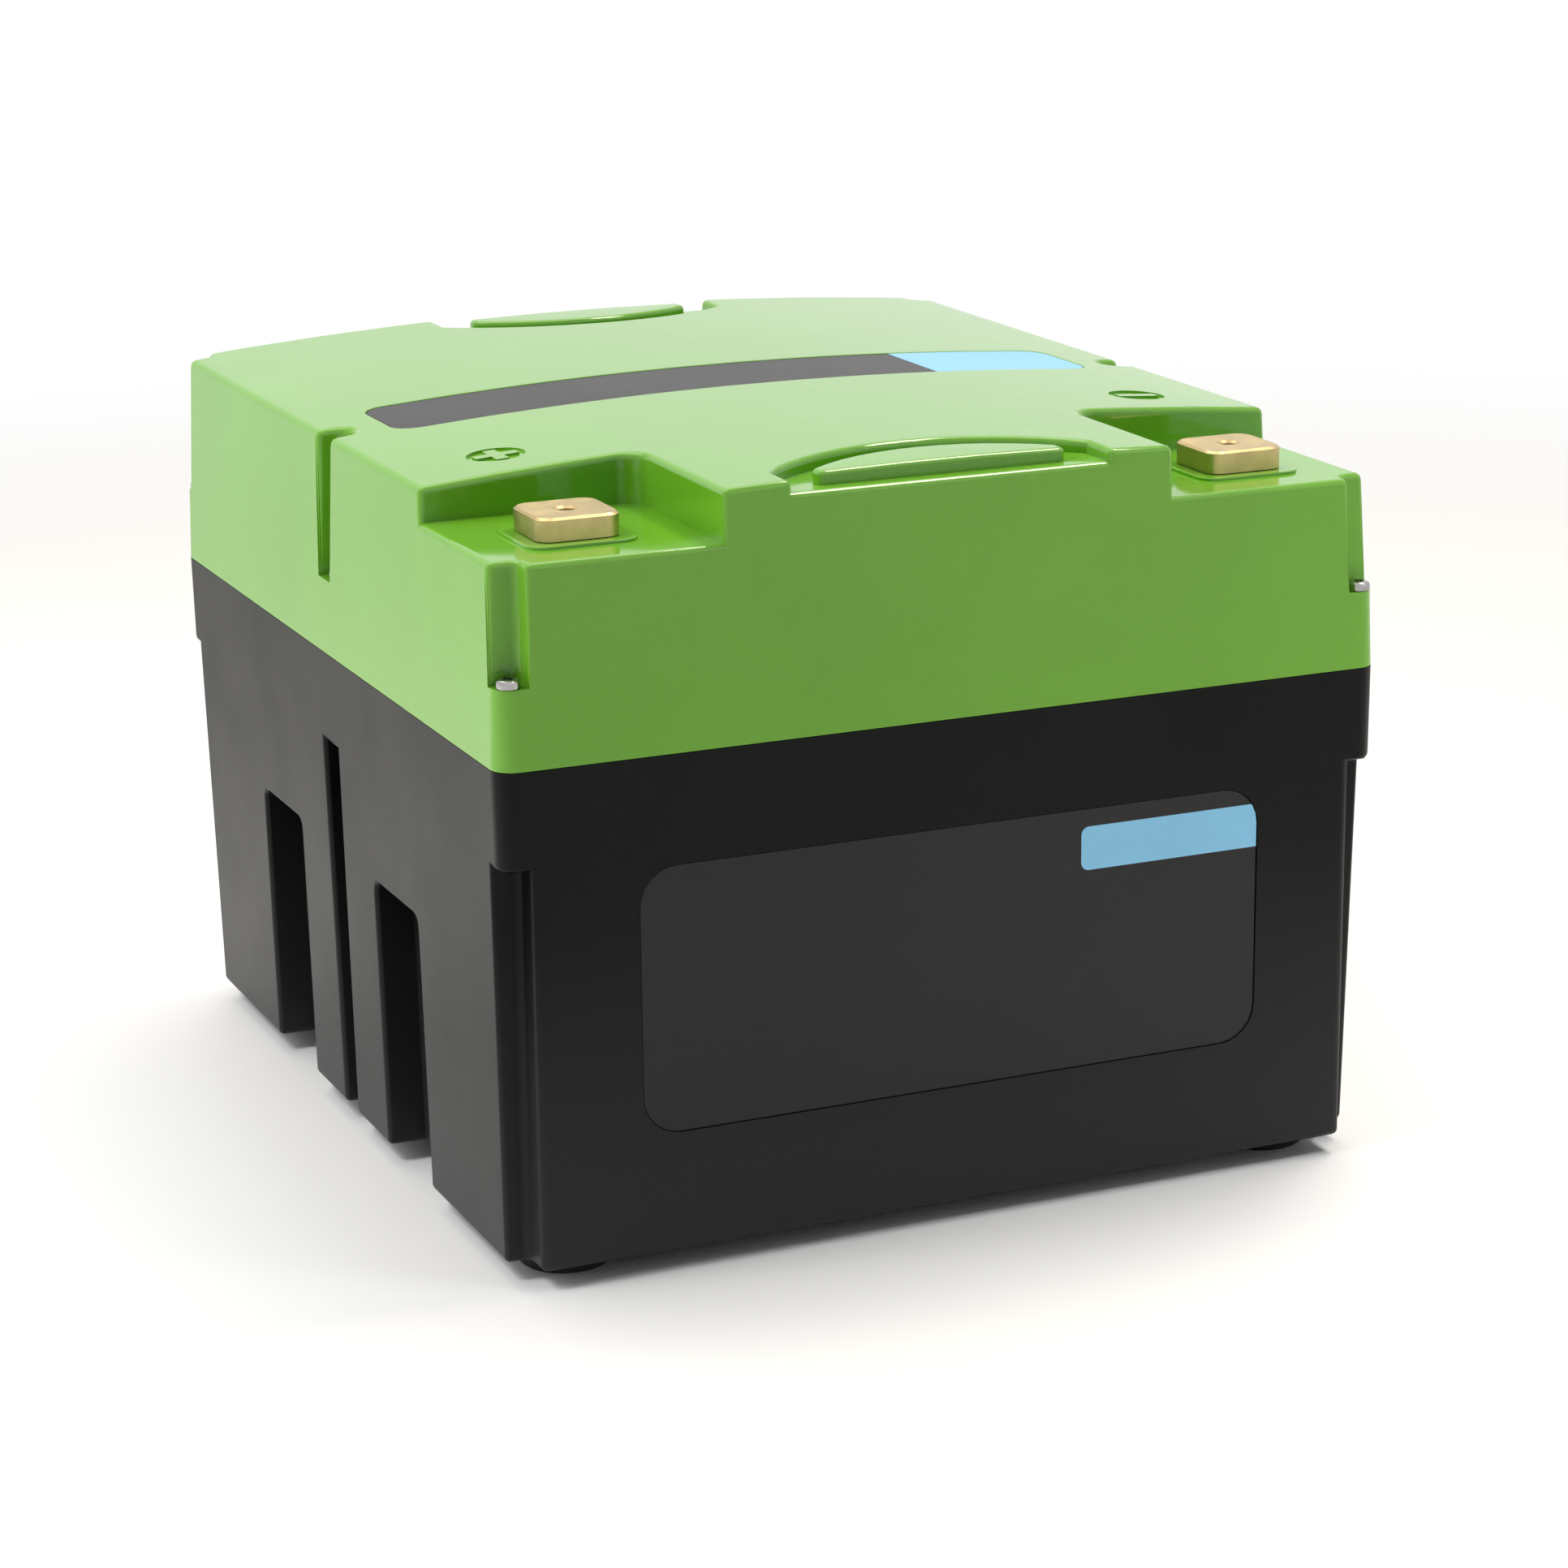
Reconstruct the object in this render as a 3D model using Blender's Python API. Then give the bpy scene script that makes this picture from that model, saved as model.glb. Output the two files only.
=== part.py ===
"""Deep cycle battery for caravans: moulded case, screwed lid, brass terminals and the cell pack inside.

Metres, +Z up. The origin is on the floor under the middle of the case, the front (labelled) face looks
along -Y, and the positive terminal is on the left (-X) seen from the front.
"""

import math

import bmesh
import bpy

MM = 0.001

# Fits
FIT_GAP = 0.3 * MM  # between pieces that touch
CUT_OVER = 20.0 * MM  # how far a cutter runs past the wall that it opens

# Case, measured at the seam between base and lid
CASE_WIDTH = 335.0 * MM
CASE_DEPTH = 382.0 * MM
CORNER_RADIUS = 8.0 * MM
WALL = 5.0 * MM
FOOT_HEIGHT = 7.0 * MM  # floor to the underside of the case
BASE_HEIGHT = 178.0 * MM  # underside of the case to the seam
BASE_DRAFT = 0.0143  # walls lean in downwards, slope
BASE_EDGE = 2.5 * MM  # rounding of the bottom edge
FLOOR_THICKNESS = 6.0 * MM

# Lid
LID_HEIGHT = 89.6 * MM  # seam to the top of the crown
CROWN_DROP = 8.4 * MM  # how much lower the top is at the sides
LID_DRAFT = 0.0316  # walls lean in upwards, slope
LID_EDGE = 2.5 * MM  # rounding of its outer edges

# Terminal recesses at the front corners of the lid
RECESS_WIDTH = 83.0 * MM  # side of the case to the inner side wall
RECESS_DEPTH = 81.0 * MM  # front of the case to the rear wall
RECESS_DROP = 20.3 * MM  # top of the crown to the floor
RECESS_RADIUS = 9.0 * MM
PAD_SIZE = 40.0 * MM
PAD_HEIGHT = 1.1 * MM
PAD_RADIUS = 7.0 * MM

# Crescent grips at the front and rear top edges
GRIP_RIB = 25.0 * MM  # rib between a grip and a terminal recess
GRIP_DROP = 5.4 * MM  # top of the crown to the floor
GRIP_DEPTH = 45.0 * MM  # case edge to the middle of the arc
GRIP_END_DEPTH = 20.5 * MM  # case edge to the ends of the arc
GRIP_GAP = 11.0 * MM  # between the arc and the island
ISLAND_END_GAP = 13.0 * MM  # between the grip's side wall and the island
ISLAND_LEDGE = 10.2 * MM  # case edge to the island's straight face
ISLAND_RADIUS = 2.5 * MM
ISLAND_EDGE = 1.8 * MM

# Screw channels of the lid, from the outline of the case
CORNER_CHANNEL_X = 12.5 * MM
CORNER_CHANNEL_Y = 10.0 * MM
SIDE_CHANNEL_DEPTH = 14.0 * MM
SIDE_CHANNEL_WIDTH = 14.0 * MM
CHANNEL_SEAT = 28.0 * MM  # above the seam
CHANNEL_RADIUS = 3.0 * MM
SIDE_CHANNEL_RADIUS = 6.0 * MM

# Base relief, from the outline of the case
COLLAR_HEIGHT = 34.5 * MM
NOTCH_X = 11.0 * MM
NOTCH_Y = 12.0 * MM
NOTCH_TAPER = 5.0 * MM  # the notch is this much longer along the side at the bottom
NOTCH_RADIUS = 3.0 * MM
SLOT_DEPTH = 14.0 * MM
SLOT_TOP_WIDTH = 17.0 * MM
SLOT_BOTTOM_WIDTH = 13.0 * MM
POCKET_DEPTH = 14.0 * MM
POCKET_WIDTH = 48.5 * MM
POCKET_INSET = 121.0 * MM  # front or rear of the case to the middle of a pocket
POCKET_TOP = 75.5 * MM  # below the seam
POCKET_RADIUS = 4.0 * MM
PANEL_EDGE = 4.0 * MM  # rounding of the front and rear panels beside the notches
RELIEF_EDGE = 1.8 * MM  # rounding of the notches, slots and pockets

# Labels
FRONT_LABEL_MARGIN = 48.8 * MM  # side of the case to the label
FRONT_LABEL_TOP = 38.5 * MM  # below the seam
FRONT_LABEL_LOW = 43.5 * MM  # above the underside of the case
FRONT_LABEL_RADIUS = 14.0 * MM
FRONT_LABEL_SINK = 1.4 * MM
TOP_LABEL_MARGIN = 26.5 * MM  # side of the case to the label
TOP_LABEL_DEPTH = 47.0 * MM
TOP_LABEL_Y = 7.5 * MM  # centre
TOP_LABEL_RADIUS = 9.0 * MM
TOP_LABEL_SINK = 1.2 * MM
LABEL_THICKNESS = 0.6 * MM

# Seal between base and lid
SEAL_WIDTH = 1.8 * MM
SEAL_DEPTH = 2.4 * MM
RIM_RADIUS = 1.0 * MM  # inner corners of the rim

# Fasteners
SCREW_RADIUS = 2.0 * MM
SCREW_HEAD_RADIUS = 4.2 * MM
SCREW_HEAD_HEIGHT = 3.0 * MM
SCREW_HEAD_RIM = 1.3 * MM  # height of its upright side
SCREW_HEAD_FLAT = 1.9 * MM  # radius of its flat top
SCREW_TIP = 0.5 * MM  # chamfer
SCREW_GRIP = 16.0 * MM  # below the seam
INSERT_WALL = 1.0 * MM
INSERT_LENGTH = 13.0 * MM
INSERT_SINK = 2.0 * MM  # top of the insert below the seam

# Terminals
TERMINAL_INSET_X = 40.9 * MM  # side of the case to the axis
TERMINAL_INSET_Y = 40.0 * MM  # front of the case to the axis
TERMINAL_SIZE = 30.0 * MM
TERMINAL_HEIGHT = 8.3 * MM
TERMINAL_RADIUS = 5.5 * MM
TERMINAL_CHAMFER = 0.8 * MM
TERMINAL_LEG = 13.0 * MM
TERMINAL_LEG_EDGE = 1.5 * MM
TERMINAL_LEG_DROP = 10.0 * MM  # below the underside of the recess floor
TAP_RADIUS = 3.4 * MM
TAP_DEPTH = 15.0 * MM
TAP_SINK = 0.9 * MM  # countersink at its mouth
SEAL_PLATE_SIZE = 24.0 * MM
SEAL_PLATE_THICKNESS = 2.0 * MM
BOLT_RADIUS = 2.5 * MM
BOLT_HEAD_RADIUS = 5.0 * MM
BOLT_HEAD_HEIGHT = 4.0 * MM
BOLT_GRIP = 7.0 * MM

# Feet
FOOT_TOP_RADIUS = 19.0 * MM
FOOT_BOTTOM_RADIUS = 17.0 * MM
FOOT_EDGE = 1.5 * MM
FOOT_SINK = 1.2 * MM  # into the locating ring of the case
FOOT_INSET_X = 29.5 * MM  # case outline to the foot's axis
FOOT_INSET_Y = 31.0 * MM

# Cells
GROUP_CELLS = 3  # cells side by side in a group, two groups in a row
PACK_CLEAR = 4.9 * MM  # pocket sleeve to the nearest cell
CELL_HEADROOM = 6.7 * MM  # top of the cells to the seam
CELL_EDGE = 3.0 * MM
POST_RADIUS = 8.0 * MM
POST_HEIGHT = 3.0 * MM
POST_INSET = 26.5 * MM  # end of the cell to the axis of the post
DIVIDER_THICKNESS = 1.5 * MM  # sheet between the groups of a row
PARTITION_THICKNESS = 2.0 * MM
SHEET_MARGIN = 4.0 * MM  # insulation is this much smaller than the cell face
FOAM_THICKNESS = 6.0 * MM
FOAM_CLEAR = 2.9 * MM  # foam to the wall at the floor
FOAM_MARGIN = 21.0 * MM  # side of the pack to the foam's end

# Busbars, straps and electronics
BUSBAR_WIDTH = 24.0 * MM
BUSBAR_THICKNESS = 2.0 * MM
COVER_CLEAR = 5.0 * MM  # busbar to the underside of the cover
COVER_THICKNESS = 3.0 * MM
COVER_MARGIN_X = 5.0 * MM  # inside the pack's sides
COVER_MARGIN_Y = 41.0 * MM  # inside the end busbars
COVER_RADIUS = 10.0 * MM
COVER_LEG = 14.0 * MM
PLATE_MARGIN_X = 6.0 * MM  # inside the cover
PLATE_MARGIN_Y = 30.0 * MM
PLATE_THICKNESS = 5.0 * MM
BOSS_RADIUS = 4.0 * MM
BOSS_HEIGHT = 6.0 * MM
BOSS_INSET_X = 9.0 * MM
BOSS_INSET_Y = 26.0 * MM  # clear of the straps on the board's front edge
BOARD_THICKNESS = 1.6 * MM
BOARD_SCREW_RADIUS = 1.5 * MM
BOARD_SCREW_HEAD = 3.0 * MM
BOARD_SCREW_HEAD_HEIGHT = 2.0 * MM
BOARD_SCREW_GRIP = 4.0 * MM
BOARD_SCREW_TAPER = 0.8  # top of the head to its rim
RADIO_SIZE = (32.0 * MM, 22.0 * MM, 4.0 * MM)
RADIO_PLACE = (40.0 * MM, 25.0 * MM)
RADIO_RADIUS = 1.5 * MM
STRAP_WIDTH = 22.0 * MM
STRAP_THICKNESS = 2.0 * MM
STRAP_LAP = 16.0 * MM  # length that lies on the board
STRAP_STANDOFF = 17.0 * MM  # terminal axis to the riser
STRAP_FRONT = 12.0 * MM  # terminal axis to the strap's front end
NEGATIVE_IN_X = 60.0 * MM

# Values that follow
SEAM_Z = FOOT_HEIGHT + BASE_HEIGHT
TOP_Z = SEAM_Z + LID_HEIGHT
HALF_W = CASE_WIDTH / 2
HALF_D = CASE_DEPTH / 2
RECESS_WALL_X = HALF_W - RECESS_WIDTH
RECESS_Z = TOP_Z - RECESS_DROP
PAD_Z = RECESS_Z + PAD_HEIGHT
GRIP_Z = TOP_Z - GRIP_DROP
GRIP_HALF_WIDTH = RECESS_WALL_X - GRIP_RIB
GRIP_RISE = GRIP_DEPTH - GRIP_END_DEPTH
GRIP_ARC = (GRIP_HALF_WIDTH**2 + GRIP_RISE**2) / (2 * GRIP_RISE)
ISLAND_HALF_WIDTH = GRIP_HALF_WIDTH - ISLAND_END_GAP
SEAT_Z = SEAM_Z + CHANNEL_SEAT
COLLAR_Z = SEAM_Z - COLLAR_HEIGHT
POCKET_Y = HALF_D - POCKET_INSET
TOP_LABEL_WIDTH = CASE_WIDTH - 2 * TOP_LABEL_MARGIN
FLOOR_Z = FOOT_HEIGHT + FLOOR_THICKNESS
FLOOR_INSET = BASE_DRAFT * (SEAM_Z - FLOOR_Z) + WALL  # case outline to the cavity at its floor
TERMINAL_X = HALF_W - TERMINAL_INSET_X
TERMINAL_Y = -HALF_D + TERMINAL_INSET_Y
LEG_Z = RECESS_Z - WALL - TERMINAL_LEG_DROP
CELL_Z = FLOOR_Z + FIT_GAP
CELL_TOP = SEAM_Z - CELL_HEADROOM
PACK_HALF_WIDTH = HALF_W - FLOOR_INSET - POCKET_DEPTH - PACK_CLEAR
GROUP_START = DIVIDER_THICKNESS / 2 + FIT_GAP  # middle of the row to the nearest cell
CELL_PITCH = (PACK_HALF_WIDTH + FIT_GAP - GROUP_START) / GROUP_CELLS
CELL_THICKNESS = CELL_PITCH - FIT_GAP
FOAM_Y = HALF_D - FLOOR_INSET - FOAM_CLEAR - FOAM_THICKNESS
ROW_START = PARTITION_THICKNESS / 2 + FIT_GAP  # middle of the pack to the nearest cell
CELL_LENGTH = FOAM_Y - FIT_GAP - ROW_START
CELL_ROW_Y = ROW_START + CELL_LENGTH / 2
POST_OFFSET = CELL_LENGTH / 2 - POST_INSET
BUSBAR_Z = CELL_TOP + POST_HEIGHT + FIT_GAP
BUSBAR_TOP = BUSBAR_Z + BUSBAR_THICKNESS
BUSBAR_Y = CELL_ROW_Y + POST_OFFSET
COVER_Z = BUSBAR_TOP + COVER_CLEAR
COVER_HALF_X = PACK_HALF_WIDTH - COVER_MARGIN_X
COVER_HALF_Y = BUSBAR_Y - BUSBAR_WIDTH / 2 - COVER_MARGIN_Y
PLATE_Z = COVER_Z + COVER_THICKNESS + FIT_GAP
PLATE_HALF_X = COVER_HALF_X - PLATE_MARGIN_X
PLATE_HALF_Y = COVER_HALF_Y - PLATE_MARGIN_Y
BOARD_Z = PLATE_Z + PLATE_THICKNESS + BOSS_HEIGHT + FIT_GAP
BOARD_TOP = BOARD_Z + BOARD_THICKNESS
BOARD_SCREW_SEAT = BOARD_TOP + FIT_GAP
BOARD_SCREW_TIP = BOARD_SCREW_SEAT - BOARD_THICKNESS - BOARD_SCREW_GRIP
POST_X = max(CORNER_CHANNEL_X, NOTCH_X) + WALL
POST_Y = max(CORNER_CHANNEL_Y, NOTCH_Y + NOTCH_TAPER) + WALL
SIDE_POST_DEPTH = max(SIDE_CHANNEL_DEPTH, SLOT_DEPTH) + WALL
SIDE_POST_WIDTH = max(SIDE_CHANNEL_WIDTH, SLOT_TOP_WIDTH) + 2 * WALL

ROUND_STEPS = 4  # facets of a quarter turn in plan
EDGE_STEPS = 3  # facets of a rounded edge
EDGE_ANGLE = math.radians(40)  # faces that meet at more than this make an edge
MERGE = 0.002 * MM  # points closer than this are one
TURN_STEPS = 24  # facets of a turned piece
SMALL_TURN_STEPS = 12  # facets of a small fastener
DOME_STEPS = 2  # facets up a screw head
HEXAGON = 6
CROWN_STEPS = 11  # strips across the crown, odd so that no joint of two lies in the middle


def clear_scene():
    """Remove whatever the scene holds."""
    for item in list(bpy.data.objects):
        bpy.data.objects.remove(item, do_unlink=True)


def make_material(name, colour, roughness, metallic):
    """A plain Principled material."""
    material = bpy.data.materials.new(name)
    material.use_nodes = True
    shader = material.node_tree.nodes["Principled BSDF"]
    shader.inputs["Base Color"].default_value = (*colour, 1.0)
    shader.inputs["Roughness"].default_value = roughness
    shader.inputs["Metallic"].default_value = metallic
    return material


def add_object(name, bm, material=None):
    """Turn a bmesh into a named object; without a material it is a cutter."""
    bmesh.ops.recalc_face_normals(bm, faces=bm.faces[:])
    mesh = bpy.data.meshes.new(name)
    bm.to_mesh(mesh)
    bm.free()
    item = bpy.data.objects.new(name, mesh)
    bpy.context.scene.collection.objects.link(item)
    if material is None:
        item.hide_render = True
        item.display_type = "WIRE"
    else:
        mesh.materials.append(material)
    return item


def boolean(item, cutter, operation="DIFFERENCE"):
    """Cut or join with another object, which stays as a hidden guide."""
    modifier = item.modifiers.new(cutter.name, "BOOLEAN")
    modifier.operation = operation
    modifier.solver = "EXACT"
    modifier.object = cutter


def bake(item):
    """Replace an object's mesh by what its modifiers make of it."""
    graph = bpy.context.evaluated_depsgraph_get()
    mesh = bpy.data.meshes.new_from_object(item.evaluated_get(graph))
    item.modifiers.clear()
    item.data = mesh


def round_edges(item, radius_of, largest):
    """Round the sharp outer edges of an object, each by the radius that a rule gives for its ends."""
    bake(item)
    bm = bmesh.new()
    bm.from_mesh(item.data)
    bmesh.ops.remove_doubles(bm, verts=bm.verts[:], dist=MERGE)
    bmesh.ops.dissolve_limit(bm, angle_limit=math.radians(0.1), verts=bm.verts[:], edges=bm.edges[:])
    weights = bm.edges.layers.float.new("bevel_weight_edge")
    for edge in bm.edges:
        if edge.is_convex and edge.calc_face_angle() > EDGE_ANGLE:
            ends = [vert.co for vert in edge.verts]
            edge[weights] = radius_of(*ends) / largest
    bm.to_mesh(item.data)
    bm.free()
    modifier = item.modifiers.new("rounding", "BEVEL")
    modifier.limit_method = "WEIGHT"
    modifier.offset_type = "OFFSET"
    modifier.width = largest
    modifier.segments = EDGE_STEPS
    modifier.use_clamp_overlap = False
    bake(item)


def shade_round(item, degrees=35):
    """Smooth shading, sharp where faces meet at more than the angle."""
    item.data.shade_smooth()
    item.data.set_sharp_from_angle(angle=math.radians(degrees))


def join_loft(bm, rings, closed_ends=True):
    """Skin a list of rings, each a list of points that runs counterclockwise seen from above."""
    count = len(rings[0])
    rows = [[bm.verts.new(point) for point in ring] for ring in rings]
    for low, high in zip(rows, rows[1:]):
        for i in range(count):
            j = (i + 1) % count
            bm.faces.new((low[i], low[j], high[j], high[i]))
    if closed_ends:
        bm.faces.new(list(reversed(rows[0])))
        bm.faces.new(rows[-1])
    return rows


def strip_cap(bm, row):
    """Close a ring with strips along Y, joining points of equal X."""
    half = len(row) // 2
    for i in range(half - 1):
        bm.faces.new((row[i], row[i + 1], row[-2 - i], row[-1 - i]))


def round_polygon(corners, radii, steps=ROUND_STEPS):
    """Points of a counterclockwise polygon with each corner rounded by its radius."""
    points = []
    count = len(corners)
    for i, (x, y) in enumerate(corners):
        radius = radii[i] if isinstance(radii, (list, tuple)) else radii
        if radius == 0:
            points.append((x, y))
            continue
        before = corners[i - 1]
        after = corners[(i + 1) % count]
        into = math.atan2(y - before[1], x - before[0])
        out = math.atan2(after[1] - y, after[0] - x)
        turn = (out - into + math.pi) % (2 * math.pi) - math.pi
        reach = radius * math.tan(abs(turn) / 2)
        side = math.copysign(1, turn)
        start = (x - reach * math.cos(into), y - reach * math.sin(into))
        centre = (
            start[0] - side * radius * math.sin(into),
            start[1] + side * radius * math.cos(into),
        )
        for k in range(steps + 1):
            angle = into - side * math.pi / 2 + turn * k / steps
            points.append(
                (centre[0] + radius * math.cos(angle), centre[1] + radius * math.sin(angle))
            )
    return points


def rectangle(x0, y0, x1, y1):
    """Corners of an upright rectangle, counterclockwise."""
    return [(x0, y0), (x1, y0), (x1, y1), (x0, y1)]


def at_height(points, z):
    """Lift plan points to a height."""
    return [(x, y, z) for x, y in points]


def add_prism(bm, points, z0, z1):
    """A straight prism on plan points."""
    join_loft(bm, [at_height(points, z0), at_height(points, z1)])


def add_box(bm, x0, x1, y0, y1, z0, z1):
    """A plain box."""
    add_prism(bm, rectangle(x0, y0, x1, y1), z0, z1)


def add_turned(bm, profile, centre, steps):
    """Turn a closed or axis-to-axis profile of (radius, z) about a vertical axis."""
    rows = []
    for radius, z in profile:
        if radius == 0:
            rows.append([bm.verts.new((centre[0], centre[1], z))])
            continue
        ring = []
        for k in range(steps):
            angle = 2 * math.pi * (k + 0.5) / steps
            x = centre[0] + radius * math.cos(angle)
            y = centre[1] + radius * math.sin(angle)
            ring.append(bm.verts.new((x, y, z)))
        rows.append(ring)
    pairs = list(zip(rows, rows[1:]))
    if len(rows[0]) > 1:
        pairs.append((rows[-1], rows[0]))
    for first, second in pairs:
        for k in range(steps):
            j = (k + 1) % steps
            corners = [first[k % len(first)], first[j % len(first)]]
            corners += [second[j % len(second)], second[k % len(second)]]
            bm.faces.new(list(dict.fromkeys(corners)))


def add_turned_object(name, profile, place, steps, material):
    """A turned piece as an object of its own."""
    bm = bmesh.new()
    add_turned(bm, profile, place, steps)
    shade_round(add_object(name, bm, material))


def mirror_corners(points):
    """The same plan points in all four corners of the case, each counterclockwise."""
    flip_x = [(-x, y) for x, y in reversed(points)]
    flip_y = [(x, -y) for x, y in reversed(points)]
    return [points, flip_x, flip_y, [(-x, -y) for x, y in points]]


def base_inset(z):
    """How far the wall of the base leans in at a height."""
    return BASE_DRAFT * (SEAM_Z - z)


def crown_z(x):
    """Height of the lid's top at a distance from the middle."""
    return SEAM_Z + LID_HEIGHT - CROWN_DROP * (x / HALF_W) ** 2


def case_ring(inset, z, half_w=HALF_W, half_d=HALF_D, radius=CORNER_RADIUS):
    """Outline of the case with rounded corners, whose front and rear points share their X.

    inset and z are numbers, or functions of a plan point.
    """
    centre_x = half_w - radius
    centre_y = half_d - radius
    spots = []
    for k in range(ROUND_STEPS + 1):
        angle = math.pi + math.pi / 2 * k / ROUND_STEPS
        spots.append((-centre_x, -centre_y, angle))
    for k in range(1, CROWN_STEPS):
        spots.append((-centre_x + 2 * centre_x * k / CROWN_STEPS, -centre_y, 1.5 * math.pi))
    for k in range(ROUND_STEPS + 1):
        angle = 1.5 * math.pi + math.pi / 2 * k / ROUND_STEPS
        spots.append((centre_x, -centre_y, angle))
    spots += [(x, -y, -angle) for x, y, angle in reversed(spots)]
    ring = []
    for x, y, angle in spots:
        reach = radius
        for _ in range(3):
            px = x + reach * math.cos(angle)
            py = y + reach * math.sin(angle)
            height = z(px) if callable(z) else z
            shift = inset(height) if callable(inset) else inset
            reach = radius - shift
        ring.append((px, py, height))
    return ring


def case_outline(inset):
    """Plan of the case drawn in by an inset, with rounded corners."""
    half_w = HALF_W - inset
    half_d = HALF_D - inset
    return round_polygon(rectangle(-half_w, -half_d, half_w, half_d), CORNER_RADIUS - inset)


def lid_inset(z):
    """How far the wall of the lid leans in at a height."""
    return LID_DRAFT * (z - SEAM_Z)


def add_lid_cavity(bm):
    """Inside of the lid's shell: drafted walls under a crowned top."""
    rings = [
        case_ring(lambda z: lid_inset(z) + WALL, SEAM_Z - CUT_OVER),
        case_ring(lambda z: lid_inset(z) + WALL, lambda x: crown_z(x) - WALL),
    ]
    rows = join_loft(bm, rings, closed_ends=False)
    bm.faces.new(list(reversed(rows[0])))
    strip_cap(bm, rows[1])


def on_island(point):
    """Whether a point lies on one of the crescents that stand in the grips."""
    reach = math.hypot(point.x, abs(point.y) - HALF_D + GRIP_DEPTH - GRIP_ARC)
    in_width = abs(point.x) < ISLAND_HALF_WIDTH + MERGE
    behind_ledge = abs(point.y) < HALF_D - ISLAND_LEDGE + MERGE
    return in_width and behind_ledge and reach < GRIP_ARC - GRIP_GAP + MERGE


def lid_radius(first, second):
    """Rounding of a lid edge between two points: none at the seam and the screw seats."""
    if max(first.z, second.z) < SEAT_Z + MERGE:
        return 0.0
    return ISLAND_EDGE if on_island(first) and on_island(second) else LID_EDGE


def crown_lid(item):
    """Cut the flat top of the lid into strips and bend it down towards its sides."""
    bm = bmesh.new()
    bm.from_mesh(item.data)
    level = TOP_Z - LID_EDGE - MERGE
    for k in range(1, CROWN_STEPS):
        place = (HALF_W * (2 * k / CROWN_STEPS - 1), 0, 0)
        faces = [face for face in bm.faces if min(vert.co.z for vert in face.verts) > level]
        edges = {edge for face in faces for edge in face.edges}
        verts = {vert for face in faces for vert in face.verts}
        geometry = [*verts, *edges, *faces]
        bmesh.ops.bisect_plane(bm, geom=geometry, dist=MERGE, plane_co=place, plane_no=(1, 0, 0))
    for vert in bm.verts:
        if vert.co.z > level:
            vert.co.z -= TOP_Z - crown_z(vert.co.x)
    bm.to_mesh(item.data)
    bm.free()


def recess_outline(grow):
    """Plan of the left terminal recess, open to the front and the side."""
    corners = rectangle(
        -HALF_W - CUT_OVER,
        -HALF_D - CUT_OVER,
        -RECESS_WALL_X + grow,
        -HALF_D + RECESS_DEPTH + grow,
    )
    return round_polygon(corners, [0, 0, RECESS_RADIUS + grow, 0])


def grip_outline(grow):
    """Plan of the front crescent grip, open to the front."""
    half = GRIP_HALF_WIDTH + grow
    arc = GRIP_ARC + grow
    centre_y = -HALF_D + GRIP_DEPTH - GRIP_ARC
    reach = math.asin(half / arc)
    points = [(-half, -HALF_D - CUT_OVER), (half, -HALF_D - CUT_OVER)]
    steps = 4 * ROUND_STEPS
    for k in range(steps + 1):
        angle = reach - 2 * reach * k / steps
        points.append((arc * math.sin(angle), centre_y + arc * math.cos(angle)))
    return points


def island_outline():
    """Plan of the crescent left standing in the grip."""
    arc = GRIP_ARC - GRIP_GAP
    centre_y = -HALF_D + GRIP_DEPTH - GRIP_ARC
    reach = math.asin(ISLAND_HALF_WIDTH / arc)
    front = -HALF_D + ISLAND_LEDGE
    corners = [(-ISLAND_HALF_WIDTH, front), (ISLAND_HALF_WIDTH, front)]
    steps = 3 * ROUND_STEPS
    for k in range(steps + 1):
        angle = reach - 2 * reach * k / steps
        corners.append((arc * math.sin(angle), centre_y + arc * math.cos(angle)))
    radii = [ISLAND_RADIUS, ISLAND_RADIUS] + [0] * (steps + 1)
    return round_polygon(corners, radii, 3)


def channel_outlines(grow):
    """Plans of the corner and side screw channels."""
    corner = rectangle(
        -HALF_W - CUT_OVER,
        -HALF_D - CUT_OVER,
        -HALF_W + CORNER_CHANNEL_X + grow,
        -HALF_D + CORNER_CHANNEL_Y + grow,
    )
    outlines = mirror_corners(round_polygon(corner, [0, 0, CHANNEL_RADIUS + grow, 0], 3))
    half = SIDE_CHANNEL_WIDTH / 2 + grow
    side = rectangle(-HALF_W - CUT_OVER, -half, -HALF_W + SIDE_CHANNEL_DEPTH + grow, half)
    bend = SIDE_CHANNEL_RADIUS + grow
    side = round_polygon(side, [0, bend, bend, 0])
    outlines += [side, [(-x, y) for x, y in reversed(side)]]
    return outlines


def four_corners(x, y):
    """One place in each corner of a rectangle about the middle, by name."""
    return {
        "front_left": (-x, -y),
        "front_right": (x, -y),
        "rear_left": (-x, y),
        "rear_right": (x, y),
    }


def screw_places():
    """Axes of the six lid screws, by name."""
    places = four_corners(HALF_W - CORNER_CHANNEL_X / 2, HALF_D - CORNER_CHANNEL_Y / 2)
    side = HALF_W - SIDE_CHANNEL_DEPTH / 2
    places["mid_left"] = (-side, 0.0)
    places["mid_right"] = (side, 0.0)
    return places


def terminal_places():
    """Axes of the two terminals, by pole."""
    return {"positive": (-TERMINAL_X, TERMINAL_Y), "negative": (TERMINAL_X, TERMINAL_Y)}


def foot_places():
    """Axes of the four feet, by name."""
    return four_corners(HALF_W - FOOT_INSET_X, HALF_D - FOOT_INSET_Y)


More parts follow.
